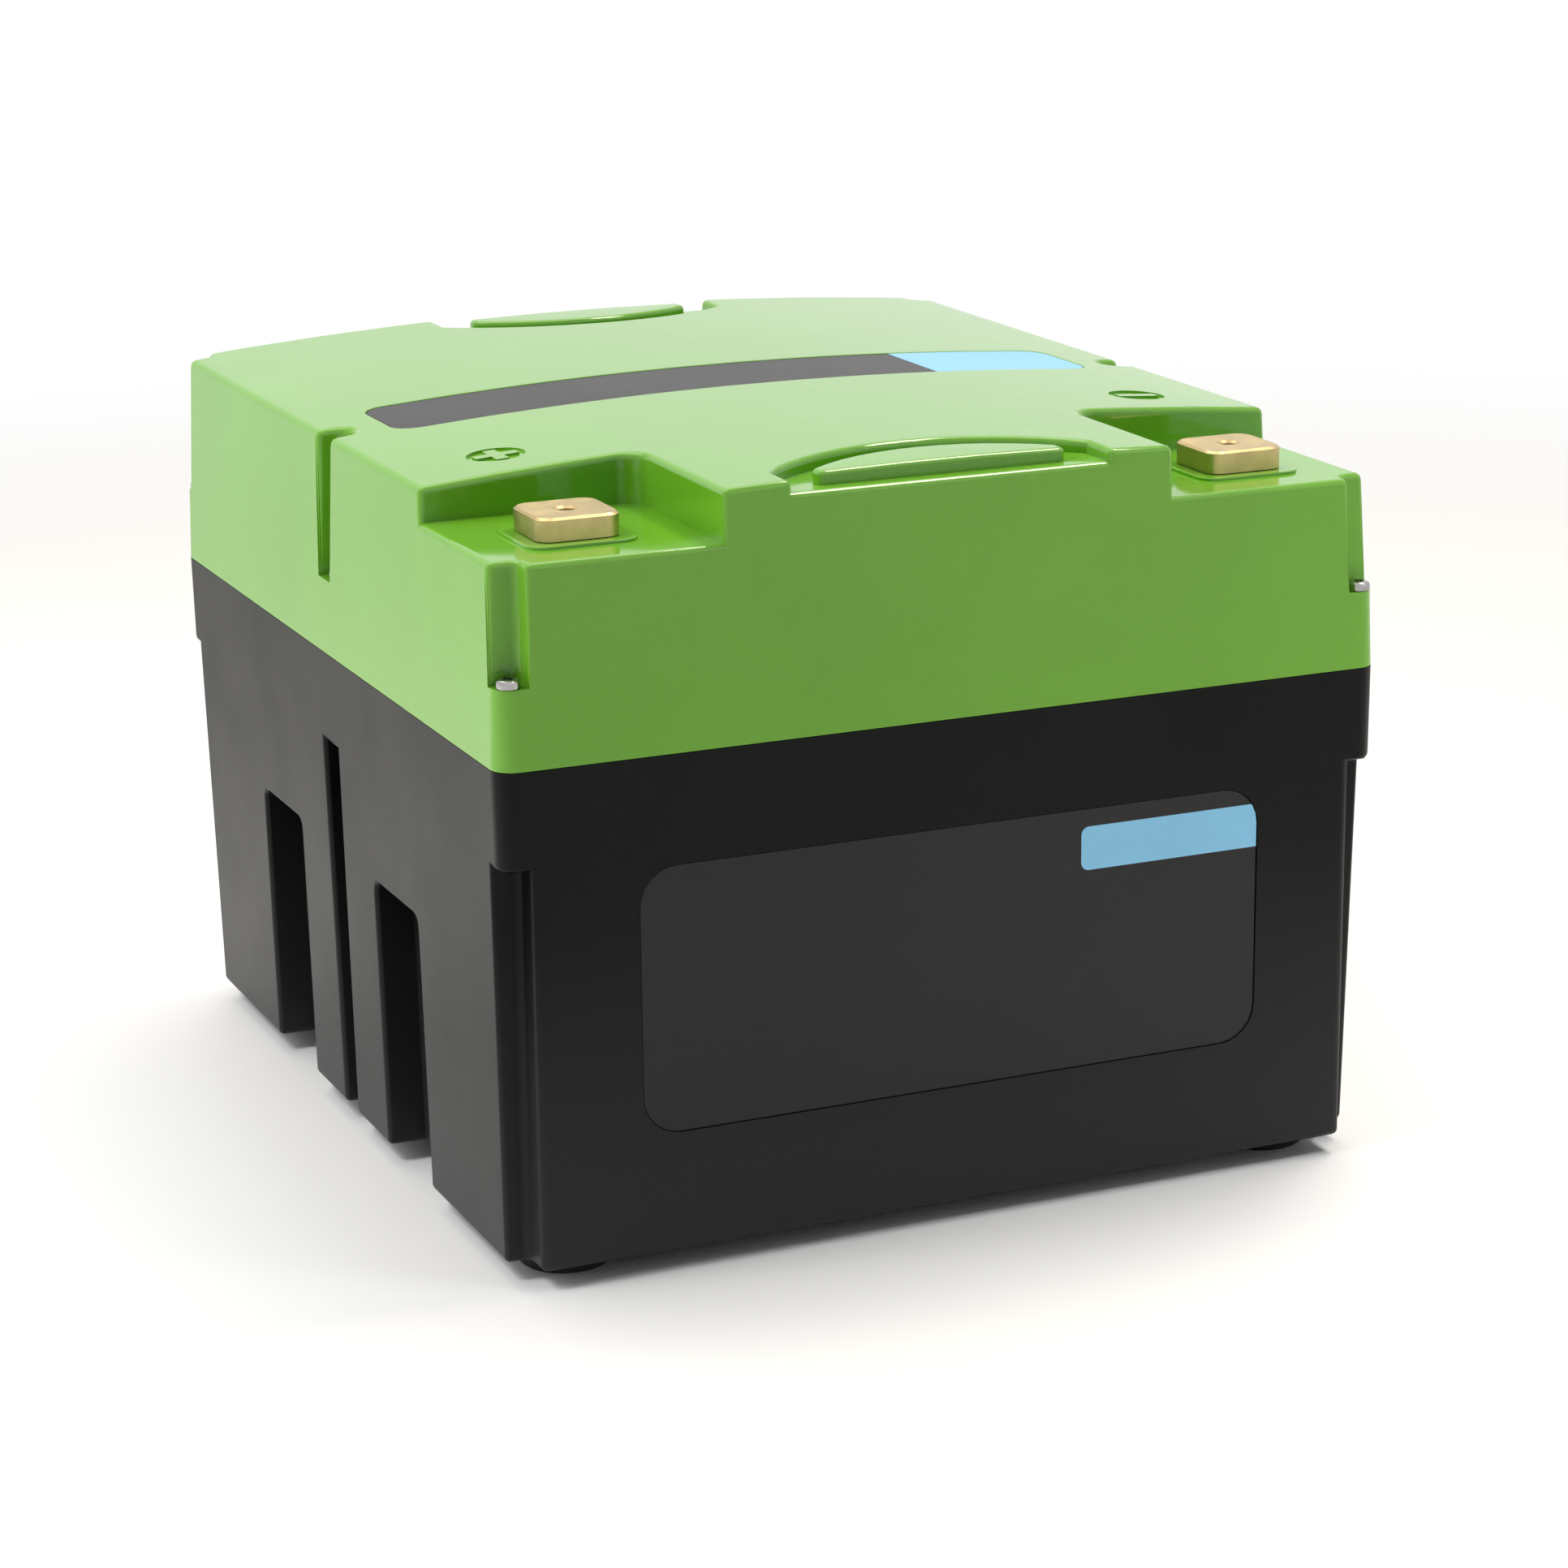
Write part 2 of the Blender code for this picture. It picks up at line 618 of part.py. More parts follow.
def rim_outline(grow):
    """Plan of the cavity at the seam, stepped in round the screw posts."""
    a = HALF_W - WALL + grow
    b = HALF_D - WALL + grow
    corner_x = HALF_W - POST_X + grow
    corner_y = HALF_D - POST_Y + grow
    side_x = HALF_W - SIDE_POST_DEPTH + grow
    m = SIDE_POST_WIDTH / 2 - grow
    quarter = [(corner_x, b), (corner_x, corner_y), (a, corner_y), (a, m), (side_x, m)]
    right = [(x, -y) for x, y in quarter] + list(reversed(quarter))
    corners = right + [(-x, -y) for x, y in right]
    return round_polygon(corners, RIM_RADIUS + max(grow, 0), 2)


def add_ring_prism(bm, outer, inner, z0, z1):
    """A closed ring between two plan outlines with equal counts of points."""
    count = len(outer)
    levels = [(outer, z0), (outer, z1), (inner, z1), (inner, z0)]
    rows = [[bm.verts.new((x, y, z)) for x, y in ring] for ring, z in levels]
    for first, second in zip(rows, rows[1:] + rows[:1]):
        for i in range(count):
            j = (i + 1) % count
            bm.faces.new((first[i], first[j], second[j], second[i]))


def add_posts(bm, z0, z1):
    """Blocks that carry the lid screws, standing in the corners and at the sides of the cavity."""
    out = CUT_OVER
    corner = rectangle(-HALF_W - out, -HALF_D - out, -HALF_W + POST_X, -HALF_D + POST_Y)
    for outline in mirror_corners(corner):
        add_prism(bm, outline, z0, z1)
    half = SIDE_POST_WIDTH / 2
    for x0, x1 in ((-HALF_W - out, -HALF_W + SIDE_POST_DEPTH), (HALF_W - SIDE_POST_DEPTH, HALF_W + out)):
        add_box(bm, x0, x1, -half, half, z0, z1)


def pocket_outline(grow):
    """Side view (y, z) of a pocket about its own middle, open at the bottom."""
    half = POCKET_WIDTH / 2 + grow
    corners = rectangle(-half, FOOT_HEIGHT - CUT_OVER, half, SEAM_Z - POCKET_TOP + grow)
    return round_polygon(corners, [0, 0, POCKET_RADIUS + grow, POCKET_RADIUS + grow], 3)


def add_pockets(bm, grow):
    """The four pockets of the side walls, grown by a wall thickness for the cavity."""
    outline = pocket_outline(grow)
    for side in (-1, 1):
        for y in (-POCKET_Y, POCKET_Y):
            deep = []
            shallow = []
            for dy, z in outline:
                x = HALF_W - base_inset(z) - POCKET_DEPTH - grow
                deep.append((side * x, y + dy, z))
                shallow.append((side * (HALF_W + CUT_OVER), y + dy, z))
            join_loft(bm, [deep, shallow])


def front_face_ring(outline, sink):
    """Points (x, z) laid on the leaning front wall of the base, sunk into it."""
    return [(x, -HALF_D + base_inset(z) + sink, z) for x, z in outline]


def front_label_outline(grow):
    """Plan (x, z) of the front label recess."""
    half = HALF_W - FRONT_LABEL_MARGIN + grow
    top = SEAM_Z - FRONT_LABEL_TOP + grow
    bottom = FOOT_HEIGHT + FRONT_LABEL_LOW - grow
    return round_polygon(rectangle(-half, bottom, half, top), FRONT_LABEL_RADIUS + grow, 6)


def base_radius(first, second):
    """Rounding of a base edge between two points: none at the seam, most on the front and rear panels."""
    low, high = sorted((first.z, second.z))
    if low > COLLAR_Z + MERGE:
        return 0.0
    if high < FOOT_HEIGHT + MERGE:
        return BASE_EDGE
    on_panel = min(abs(first.y), abs(second.y)) > HALF_D - NOTCH_Y / 2
    return PANEL_EDGE if on_panel and high - low > COLLAR_HEIGHT else RELIEF_EDGE


def build_base_case(material):
    """Black tub: drafted walls, collar, corner notches, side slots, pockets and label recess."""
    bm = bmesh.new()
    low = at_height(case_outline(base_inset(FOOT_HEIGHT)), FOOT_HEIGHT)
    join_loft(bm, [low, at_height(case_outline(0.0), SEAM_Z)])
    base = add_object("base_case", bm, material)

    relief_bm = bmesh.new()
    bottom = FOOT_HEIGHT - CUT_OVER
    reliefs = list(zip(notch_outlines(NOTCH_TAPER), notch_outlines(0.0)))
    reliefs += zip(slot_outlines(SLOT_BOTTOM_WIDTH), slot_outlines(SLOT_TOP_WIDTH))
    for outline_low, outline_high in reliefs:
        join_loft(relief_bm, [at_height(outline_low, bottom), at_height(outline_high, COLLAR_Z)])
    add_pockets(relief_bm, 0.0)
    boolean(base, add_object("cut_base_relief", relief_bm))
    round_edges(base, base_radius, PANEL_EDGE)

    cavity_bm = bmesh.new()
    low = at_height(case_outline(FLOOR_INSET), FLOOR_Z)
    high = at_height(case_outline(WALL - BASE_DRAFT * CUT_OVER), SEAM_Z + CUT_OVER)
    join_loft(cavity_bm, [low, high])
    cavity = add_object("cut_base_cavity", cavity_bm)
    posts_bm = bmesh.new()
    add_posts(posts_bm, FLOOR_Z - CUT_OVER, SEAM_Z + 2 * CUT_OVER)
    boolean(cavity, add_object("keep_base_posts", posts_bm))
    sleeves_bm = bmesh.new()
    add_pockets(sleeves_bm, WALL)
    boolean(cavity, add_object("keep_pocket_sleeves", sleeves_bm))
    boolean(base, cavity)

    sink_bm = bmesh.new()
    outline = front_label_outline(0.0)
    rings = [front_face_ring(outline, -CUT_OVER), front_face_ring(outline, FRONT_LABEL_SINK)]
    join_loft(sink_bm, rings)
    for x, y in foot_places().values():
        radius = FOOT_TOP_RADIUS + FIT_GAP
        z1 = FOOT_HEIGHT + FOOT_SINK
        add_turned(sink_bm, [(0, bottom), (radius, bottom), (radius, z1), (0, z1)], (x, y), TURN_STEPS)
    boolean(base, add_object("cut_label_and_feet", sink_bm))

    rim_bm = bmesh.new()
    middle = WALL / 2
    half = SEAL_WIDTH / 2 + FIT_GAP
    z0 = SEAM_Z - SEAL_DEPTH
    add_ring_prism(rim_bm, rim_outline(middle + half), rim_outline(middle - half), z0, SEAM_Z + CUT_OVER)
    radius = SCREW_RADIUS + FIT_GAP + INSERT_WALL + FIT_GAP
    low = SEAM_Z - SCREW_GRIP - 2 * FIT_GAP
    for place in screw_places().values():
        high = SEAM_Z + CUT_OVER
        profile = [(0, low), (radius, low), (radius, high), (0, high)]
        add_turned(rim_bm, profile, place, SMALL_TURN_STEPS)
    boolean(base, add_object("cut_base_rim", rim_bm))
    shade_round(base)


def notch_outlines(taper):
    """Plans of the four corner notches under the collar."""
    corner = rectangle(
        -HALF_W - CUT_OVER,
        -HALF_D - CUT_OVER,
        -HALF_W + NOTCH_X,
        -HALF_D + NOTCH_Y + taper,
    )
    return mirror_corners(round_polygon(corner, [0, 0, NOTCH_RADIUS, 0], 3))


def slot_outlines(width):
    """Plans of the two mid-side slots under the collar."""
    half = width / 2
    side = rectangle(-HALF_W - CUT_OVER, -half, -HALF_W + SLOT_DEPTH, half)
    side = round_polygon(side, [0, NOTCH_RADIUS, NOTCH_RADIUS, 0], 3)
    return [side, [(-x, y) for x, y in reversed(side)]]


def top_label_ring(grow, drop):
    """Outline of the top label laid under the crown."""
    ring = case_ring(
        0.0,
        lambda x: crown_z(x) - drop,
        TOP_LABEL_WIDTH / 2 + grow,
        TOP_LABEL_DEPTH / 2 + grow,
        TOP_LABEL_RADIUS + grow,
    )
    return [(x, y + TOP_LABEL_Y, z) for x, y, z in ring]


def add_top_label_block(bm, grow, low_drop, high_drop):
    """A crowned slab with the outline of the top label."""
    rings = [top_label_ring(grow, low_drop), top_label_ring(grow, high_drop)]
    rows = join_loft(bm, rings, closed_ends=False)
    strip_cap(bm, rows[0])
    strip_cap(bm, rows[1])


def build_lid(material):
    """Green lid: crowned shell with terminal recesses, crescent grips and screw channels."""
    bm = bmesh.new()
    bottom = SEAM_Z + FIT_GAP
    low = at_height(case_outline(lid_inset(bottom)), bottom)
    join_loft(bm, [low, at_height(case_outline(lid_inset(TOP_Z)), TOP_Z)])
    lid = add_object("lid", bm, material)
    above = TOP_Z + CUT_OVER

    outer_bm = bmesh.new()
    left = recess_outline(0.0)
    right = [(-x, y) for x, y in reversed(left)]
    for outline in (left, right):
        add_prism(outer_bm, outline, RECESS_Z, above)
    boolean(lid, add_object("cut_terminal_recesses", outer_bm))

    crescent_bm = bmesh.new()
    front = grip_outline(0.0)
    rear = [(-x, -y) for x, y in front]
    for outline in (front, rear):
        add_prism(crescent_bm, outline, GRIP_Z, above)
    crescents = add_object("cut_crescents", crescent_bm)
    island_bm = bmesh.new()
    front = island_outline()
    rear = [(-x, -y) for x, y in front]
    for outline in (front, rear):
        add_prism(island_bm, outline, SEAM_Z, above + CUT_OVER)
    boolean(crescents, add_object("keep_islands", island_bm))
    boolean(lid, crescents)

    channel_bm = bmesh.new()
    for outline in channel_outlines(0.0):
        add_prism(channel_bm, outline, SEAT_Z, above)
    boolean(lid, add_object("cut_channels", channel_bm))
    round_edges(lid, lid_radius, LID_EDGE)
    crown_lid(lid)

    pad_bm = bmesh.new()
    half = PAD_SIZE / 2
    for x, y in terminal_places().values():
        outline = round_polygon(rectangle(x - half, y - half, x + half, y + half), PAD_RADIUS)
        add_prism(pad_bm, outline, RECESS_Z - WALL / 2, PAD_Z)
    boolean(lid, add_object("join_terminal_pads", pad_bm), "UNION")

    cavity_bm = bmesh.new()
    add_lid_cavity(cavity_bm)
    cavity = add_object("cut_lid_cavity", cavity_bm)
    posts_bm = bmesh.new()
    add_posts(posts_bm, SEAM_Z - 2 * CUT_OVER, above)
    boolean(cavity, add_object("keep_lid_posts", posts_bm))
    floor_bm = bmesh.new()
    left = recess_outline(WALL)
    right = [(-x, y) for x, y in reversed(left)]
    for outline in (left, right):
        add_prism(floor_bm, outline, RECESS_Z - WALL, above)
    boolean(cavity, add_object("keep_recess_floors", floor_bm))
    grip_bm = bmesh.new()
    front = grip_outline(WALL)
    rear = [(-x, -y) for x, y in front]
    for outline in (front, rear):
        add_prism(grip_bm, outline, GRIP_Z - WALL, above)
    boolean(cavity, add_object("keep_grip_floors", grip_bm))
    boolean(lid, cavity)

    hole_bm = bmesh.new()
    low = SEAM_Z - CUT_OVER
    high = SEAT_Z + CUT_OVER
    radius = SCREW_RADIUS + FIT_GAP
    for place in screw_places().values():
        profile = [(0, low), (radius, low), (radius, high), (0, high)]
        add_turned(hole_bm, profile, place, SMALL_TURN_STEPS)
    half = TERMINAL_LEG / 2 + FIT_GAP
    seal_half = SEAL_PLATE_SIZE / 2 + FIT_GAP
    for x, y in terminal_places().values():
        z0 = RECESS_Z - WALL - CUT_OVER
        z1 = PAD_Z - SEAL_PLATE_THICKNESS
        legs = rectangle(x - half, y - half, x + half, y + half)
        sinks = rectangle(x - seal_half, y - seal_half, x + seal_half, y + seal_half)
        rings = [at_height(legs, z0), at_height(legs, z1), at_height(sinks, z1), at_height(sinks, above)]
        join_loft(hole_bm, rings)
    add_top_label_block(hole_bm, 0.0, TOP_LABEL_SINK, -CUT_OVER)
    boolean(lid, add_object("cut_lid_holes", hole_bm))
    shade_round(lid)


def build_lid_seal(material):
    """Sealing cord that lies in the groove of the rim."""
    bm = bmesh.new()
    middle = WALL / 2
    half = SEAL_WIDTH / 2
    low = SEAM_Z - SEAL_DEPTH + FIT_GAP
    add_ring_prism(bm, rim_outline(middle + half), rim_outline(middle - half), low, SEAM_Z)
    return add_object("lid_seal", bm, material)


def build_feet(material):
    """Four tapered rubber feet bonded into locating rings under the case."""
    top = FOOT_HEIGHT + FOOT_SINK - FIT_GAP
    profile = [
        (0, 0),
        (FOOT_BOTTOM_RADIUS - FOOT_EDGE, 0),
        (FOOT_BOTTOM_RADIUS, FOOT_EDGE),
        (FOOT_TOP_RADIUS, FOOT_HEIGHT - FOOT_EDGE),
        (FOOT_TOP_RADIUS, top),
        (0, top),
    ]
    for where, place in foot_places().items():
        add_turned_object(f"foot_{where}", profile, place, TURN_STEPS, material)


def build_lid_screws(material):
    """Six pan-head screws that stand at the bottom of the channels."""
    seat = SEAT_Z + FIT_GAP
    tip = SEAM_Z - SCREW_GRIP
    profile = [
        (0, tip),
        (SCREW_RADIUS - SCREW_TIP, tip),
        (SCREW_RADIUS, tip + SCREW_TIP),
        (SCREW_RADIUS, seat),
        (SCREW_HEAD_RADIUS, seat),
    ]
    for k in range(DOME_STEPS + 1):
        angle = math.pi / 2 * k / DOME_STEPS
        across = (SCREW_HEAD_RADIUS - SCREW_HEAD_FLAT) * math.cos(angle)
        up = (SCREW_HEAD_HEIGHT - SCREW_HEAD_RIM) * math.sin(angle)
        profile.append((SCREW_HEAD_FLAT + across, seat + SCREW_HEAD_RIM + up))
    profile.append((0, seat + SCREW_HEAD_HEIGHT))
    for where, place in screw_places().items():
        add_turned_object(f"lid_screw_{where}", profile, place, SMALL_TURN_STEPS, material)


def build_screw_inserts(material):
    """Brass inserts in the posts of the base, one for each lid screw."""
    bore = SCREW_RADIUS + FIT_GAP
    top = SEAM_Z - INSERT_SINK
    low = top - INSERT_LENGTH
    outer = bore + INSERT_WALL
    profile = [(bore, low), (outer, low), (outer, top), (bore, top)]
    for where, place in screw_places().items():
        add_turned_object(f"screw_insert_{where}", profile, place, SMALL_TURN_STEPS, material)


def build_terminal(pole, place, material):
    """Brass block on its leg, with a tapped hole from above and one from below."""
    x, y = place
    steps = [
        (TERMINAL_LEG / 2, TERMINAL_LEG_EDGE, LEG_Z),
        (TERMINAL_LEG / 2, TERMINAL_LEG_EDGE, PAD_Z + FIT_GAP),
        (TERMINAL_SIZE / 2, TERMINAL_RADIUS, PAD_Z + FIT_GAP),
        (TERMINAL_SIZE / 2, TERMINAL_RADIUS, PAD_Z + TERMINAL_HEIGHT - TERMINAL_CHAMFER),
        (TERMINAL_SIZE / 2 - TERMINAL_CHAMFER, TERMINAL_RADIUS, PAD_Z + TERMINAL_HEIGHT),
    ]
    bm = bmesh.new()
    rings = []
    for half, radius, z in steps:
        outline = round_polygon(rectangle(x - half, y - half, x + half, y + half), radius, 5)
        rings.append(at_height(outline, z))
    join_loft(bm, rings)
    block = add_object(f"terminal_{pole}", bm, material)

    hole_bm = bmesh.new()
    top = PAD_Z + TERMINAL_HEIGHT
    mouth = TAP_RADIUS + TAP_SINK
    tap = [
        (0, top - TAP_DEPTH),
        (TAP_RADIUS, top - TAP_DEPTH),
        (TAP_RADIUS, top - TAP_SINK),
        (mouth, top),
        (mouth, top + CUT_OVER),
        (0, top + CUT_OVER),
    ]
    add_turned(hole_bm, tap, place, TURN_STEPS)
    bolt = BOLT_RADIUS + FIT_GAP
    end = LEG_Z + BOLT_GRIP + FIT_GAP
    add_turned(
        hole_bm,
        [(0, LEG_Z - CUT_OVER), (bolt, LEG_Z - CUT_OVER), (bolt, end), (0, end)],
        place,
        SMALL_TURN_STEPS,
    )
    boolean(block, add_object(f"cut_terminal_{pole}", hole_bm))


def build_terminal_seals(material):
    """Rubber seals let into the pads under the terminal blocks."""
    outer = SEAL_PLATE_SIZE / 2
    inner = TERMINAL_LEG / 2 + FIT_GAP
    low = PAD_Z - SEAL_PLATE_THICKNESS + FIT_GAP
    for pole, (x, y) in terminal_places().items():
        edge = rectangle(x - outer, y - outer, x + outer, y + outer)
        bore = rectangle(x - inner, y - inner, x + inner, y + inner)
        bm = bmesh.new()
        add_ring_prism(bm, edge, bore, low, PAD_Z)
        add_object(f"terminal_seal_{pole}", bm, material)


def build_terminal_bolts(material):
    """Hexagon bolts that hold the straps under the terminal legs."""
    seat = LEG_Z - STRAP_THICKNESS - 2 * FIT_GAP
    low = seat - BOLT_HEAD_HEIGHT
    profile = [
        (0, low),
        (BOLT_HEAD_RADIUS, low),
        (BOLT_HEAD_RADIUS, seat),
        (BOLT_RADIUS, seat),
        (BOLT_RADIUS, LEG_Z + BOLT_GRIP),
        (0, LEG_Z + BOLT_GRIP),
    ]
    for pole, place in terminal_places().items():
        add_turned_object(f"terminal_bolt_{pole}", profile, place, HEXAGON, material)


def build_labels(material):
    """Front and top label plates in their recesses."""
    outline = front_label_outline(-FIT_GAP)
    back = FRONT_LABEL_SINK - FIT_GAP
    bm = bmesh.new()
    rings = [front_face_ring(outline, back - LABEL_THICKNESS), front_face_ring(outline, back)]
    join_loft(bm, rings)
    add_object("front_label", bm, material)
    bm = bmesh.new()
    low = TOP_LABEL_SINK - FIT_GAP
    add_top_label_block(bm, -FIT_GAP, low, low - LABEL_THICKNESS)
    add_object("top_label", bm, material)


def cell_places():
    """Middle of each cell in plan: left to right, front row first."""
    right = [GROUP_START + CELL_THICKNESS / 2 + k * CELL_PITCH for k in range(GROUP_CELLS)]
    columns = [-x for x in reversed(right)] + right
    return [(x, y) for y in (-CELL_ROW_Y, CELL_ROW_Y) for x in columns]


def build_cells(material):
    """Prismatic cells with two posts each."""
    half_x = CELL_THICKNESS / 2
    half_y = CELL_LENGTH / 2
    for number, (x, y) in enumerate(cell_places(), start=1):
        bm = bmesh.new()
        outline = round_polygon(rectangle(x - half_x, y - half_y, x + half_x, y + half_y), CELL_EDGE, 2)
        add_prism(bm, outline, CELL_Z, CELL_TOP)
        cell = add_object(f"cell_{number:02d}", bm, material)
        post_bm = bmesh.new()
        low = CELL_TOP - 2 * POST_HEIGHT
        high = CELL_TOP + POST_HEIGHT
        for side in (-1, 1):
            profile = [(0, low), (POST_RADIUS, low), (POST_RADIUS, high), (0, high)]
            add_turned(post_bm, profile, (x, y + side * POST_OFFSET), SMALL_TURN_STEPS)
        boolean(cell, add_object(f"join_posts_{number:02d}", post_bm), "UNION")


def build_insulation(sheet, foam):
    """Dividers between the groups, the partition between the rows and foam at both ends."""
    half_y = CELL_LENGTH / 2 - SHEET_MARGIN
    top = CELL_TOP - SHEET_MARGIN
    half = DIVIDER_THICKNESS / 2
    for name, y in (("divider_front", -CELL_ROW_Y), ("divider_rear", CELL_ROW_Y)):
        bm = bmesh.new()
        add_box(bm, -half, half, y - half_y, y + half_y, CELL_Z, top)
        add_object(name, bm, sheet)

    pack_half = PACK_HALF_WIDTH - SHEET_MARGIN
    half = PARTITION_THICKNESS / 2
    bm = bmesh.new()
    add_box(bm, -pack_half, pack_half, -half, half, CELL_Z, top)
    add_object("centre_partition", bm, sheet)

    half = PACK_HALF_WIDTH - FOAM_MARGIN
    for name, side in (("foam_front", -1), ("foam_rear", 1)):
        y0, y1 = sorted((side * FOAM_Y, side * (FOAM_Y + FOAM_THICKNESS)))
        outline = round_polygon(rectangle(-half, y0, half, y1), FOAM_THICKNESS / 3, 2)
        bm = bmesh.new()
        add_prism(bm, outline, CELL_Z, top)
        add_object(name, bm, foam)


def build_busbars(material):
    """Plates on the cell posts that join three cells side by side and four groups in line."""
    reach = PACK_HALF_WIDTH - SHEET_MARGIN
    split = SHEET_MARGIN
    outer = BUSBAR_Y
    inner = CELL_ROW_Y - POST_OFFSET + BUSBAR_WIDTH / 2
    half = BUSBAR_WIDTH / 2
    plates = {
        "busbar_positive": (-reach, -split, -outer - half, -outer + half),
        "busbar_negative": (split, reach, -outer - half, -outer + half),
        "link_left": (-reach, -split, -inner, inner),
        "link_rear": (-reach, reach, outer - half, outer + half),
        "link_right": (split, reach, -inner, inner),
    }
    for name, (x0, x1, y0, y1) in plates.items():
        bm = bmesh.new()
        outline = round_polygon(rectangle(x0, y0, x1, y1), BUSBAR_WIDTH / 4, 3)
        add_prism(bm, outline, BUSBAR_Z, BUSBAR_TOP)
        add_object(name, bm, material)


def build_cell_cover(material):
    """Moulded cover that stands on the cells between the busbars and carries the board."""
    bm = bmesh.new()
    outline = rectangle(-COVER_HALF_X, -COVER_HALF_Y, COVER_HALF_X, COVER_HALF_Y)
    add_prism(bm, round_polygon(outline, COVER_RADIUS), COVER_Z, COVER_Z + COVER_THICKNESS)
    cover = add_object("cell_cover", bm, material)
    leg_bm = bmesh.new()
    half = COVER_LEG / 2
    for x, y in four_corners(COVER_HALF_X - COVER_LEG, COVER_HALF_Y - COVER_LEG).values():
        outline = round_polygon(rectangle(x - half, y - half, x + half, y + half), half / 2, 2)
        add_prism(leg_bm, outline, CELL_TOP + FIT_GAP, COVER_Z + COVER_THICKNESS / 2)
    boolean(cover, add_object("join_cover_legs", leg_bm), "UNION")


def board_screw_places():
    """Axes of the four board screws, by name."""
    return four_corners(PLATE_HALF_X - BOSS_INSET_X, PLATE_HALF_Y - BOSS_INSET_Y)


def build_electronics(plate_material, board_material, screw_material):
    """Heat plate with bosses, the management board screwed to it and the radio module."""
    outline = rectangle(-PLATE_HALF_X, -PLATE_HALF_Y, PLATE_HALF_X, PLATE_HALF_Y)
    outline = round_polygon(outline, BOSS_RADIUS, 3)
    bm = bmesh.new()
    add_prism(bm, outline, PLATE_Z, PLATE_Z + PLATE_THICKNESS)
    plate = add_object("bms_plate", bm, plate_material)
    boss_bm = bmesh.new()
    hole_bm = bmesh.new()
    top = PLATE_Z + PLATE_THICKNESS + BOSS_HEIGHT
    bore = BOARD_SCREW_RADIUS + FIT_GAP
    end = BOARD_SCREW_TIP - FIT_GAP
    for place in board_screw_places().values():
        low = PLATE_Z + PLATE_THICKNESS / 2
        boss = [(0, low), (BOSS_RADIUS, low), (BOSS_RADIUS, top), (0, top)]
        add_turned(boss_bm, boss, place, SMALL_TURN_STEPS)
        high = top + CUT_OVER
        add_turned(hole_bm, [(0, end), (bore, end), (bore, high), (0, high)], place, SMALL_TURN_STEPS)
    boolean(plate, add_object("join_plate_bosses", boss_bm), "UNION")
    holes = add_object("cut_board_holes", hole_bm)
    boolean(plate, holes)

    bm = bmesh.new()
    add_prism(bm, outline, BOARD_Z, BOARD_TOP)
    board = add_object("bms_board", bm, board_material)
    boolean(board, holes)

    seat = BOARD_SCREW_SEAT
    head = seat + BOARD_SCREW_HEAD_HEIGHT
    profile = [
        (0, BOARD_SCREW_TIP),
        (BOARD_SCREW_RADIUS, BOARD_SCREW_TIP),
        (BOARD_SCREW_RADIUS, seat),
        (BOARD_SCREW_HEAD, seat),
        (BOARD_SCREW_HEAD * BOARD_SCREW_TAPER, head),
        (0, head),
    ]
    for where, place in board_screw_places().items():
        add_turned_object(f"bms_screw_{where}", profile, place, SMALL_TURN_STEPS, screw_material)

    width, depth, height = RADIO_SIZE
    x, y = RADIO_PLACE
    outline = rectangle(x - width / 2, y - depth / 2, x + width / 2, y + depth / 2)
    bm = bmesh.new()
    add_prism(bm, round_polygon(outline, RADIO_RADIUS, 2), seat, seat + height)
    add_object("radio_module", bm, board_material)


def add_strap(bm, path, x):
    """A flat strap of constant width along a square-cornered path of (y, z) points on its middle line."""
    half = STRAP_THICKNESS / 2
    sides = ([], [])
    for i, (y, z) in enumerate(path):
        shift_y = shift_z = 0.0
        legs = []
        if i > 0:
            legs.append((path[i - 1], path[i]))
        if i < len(path) - 1:
            legs.append((path[i], path[i + 1]))
        for (y0, z0), (y1, z1) in legs:
            length = math.hypot(y1 - y0, z1 - z0)
            ny = -(z1 - z0) / length
            nz = (y1 - y0) / length
            if abs(ny) > 0.5:
                shift_y = ny * half
            if abs(nz) > 0.5:
                shift_z = nz * half
        sides[0].append((y + shift_y, z + shift_z))
        sides[1].append((y - shift_y, z - shift_z))
    profile = sides[0] + list(reversed(sides[1]))
    rings = []
    for px in (x - STRAP_WIDTH / 2, x + STRAP_WIDTH / 2):
        rings.append([(px, y, z) for y, z in profile])
    rows = [[bm.verts.new(point) for point in ring] for ring in rings]
    count = len(profile)
    for i in range(count):
        j = (i + 1) % count
        bm.faces.new((rows[0][i], rows[0][j], rows[1][j], rows[1][i]))
    last = len(path) - 1
    for row in rows:
        for i in range(last):
            bm.faces.new((row[i], row[i + 1], row[count - 2 - i], row[count - 1 - i]))


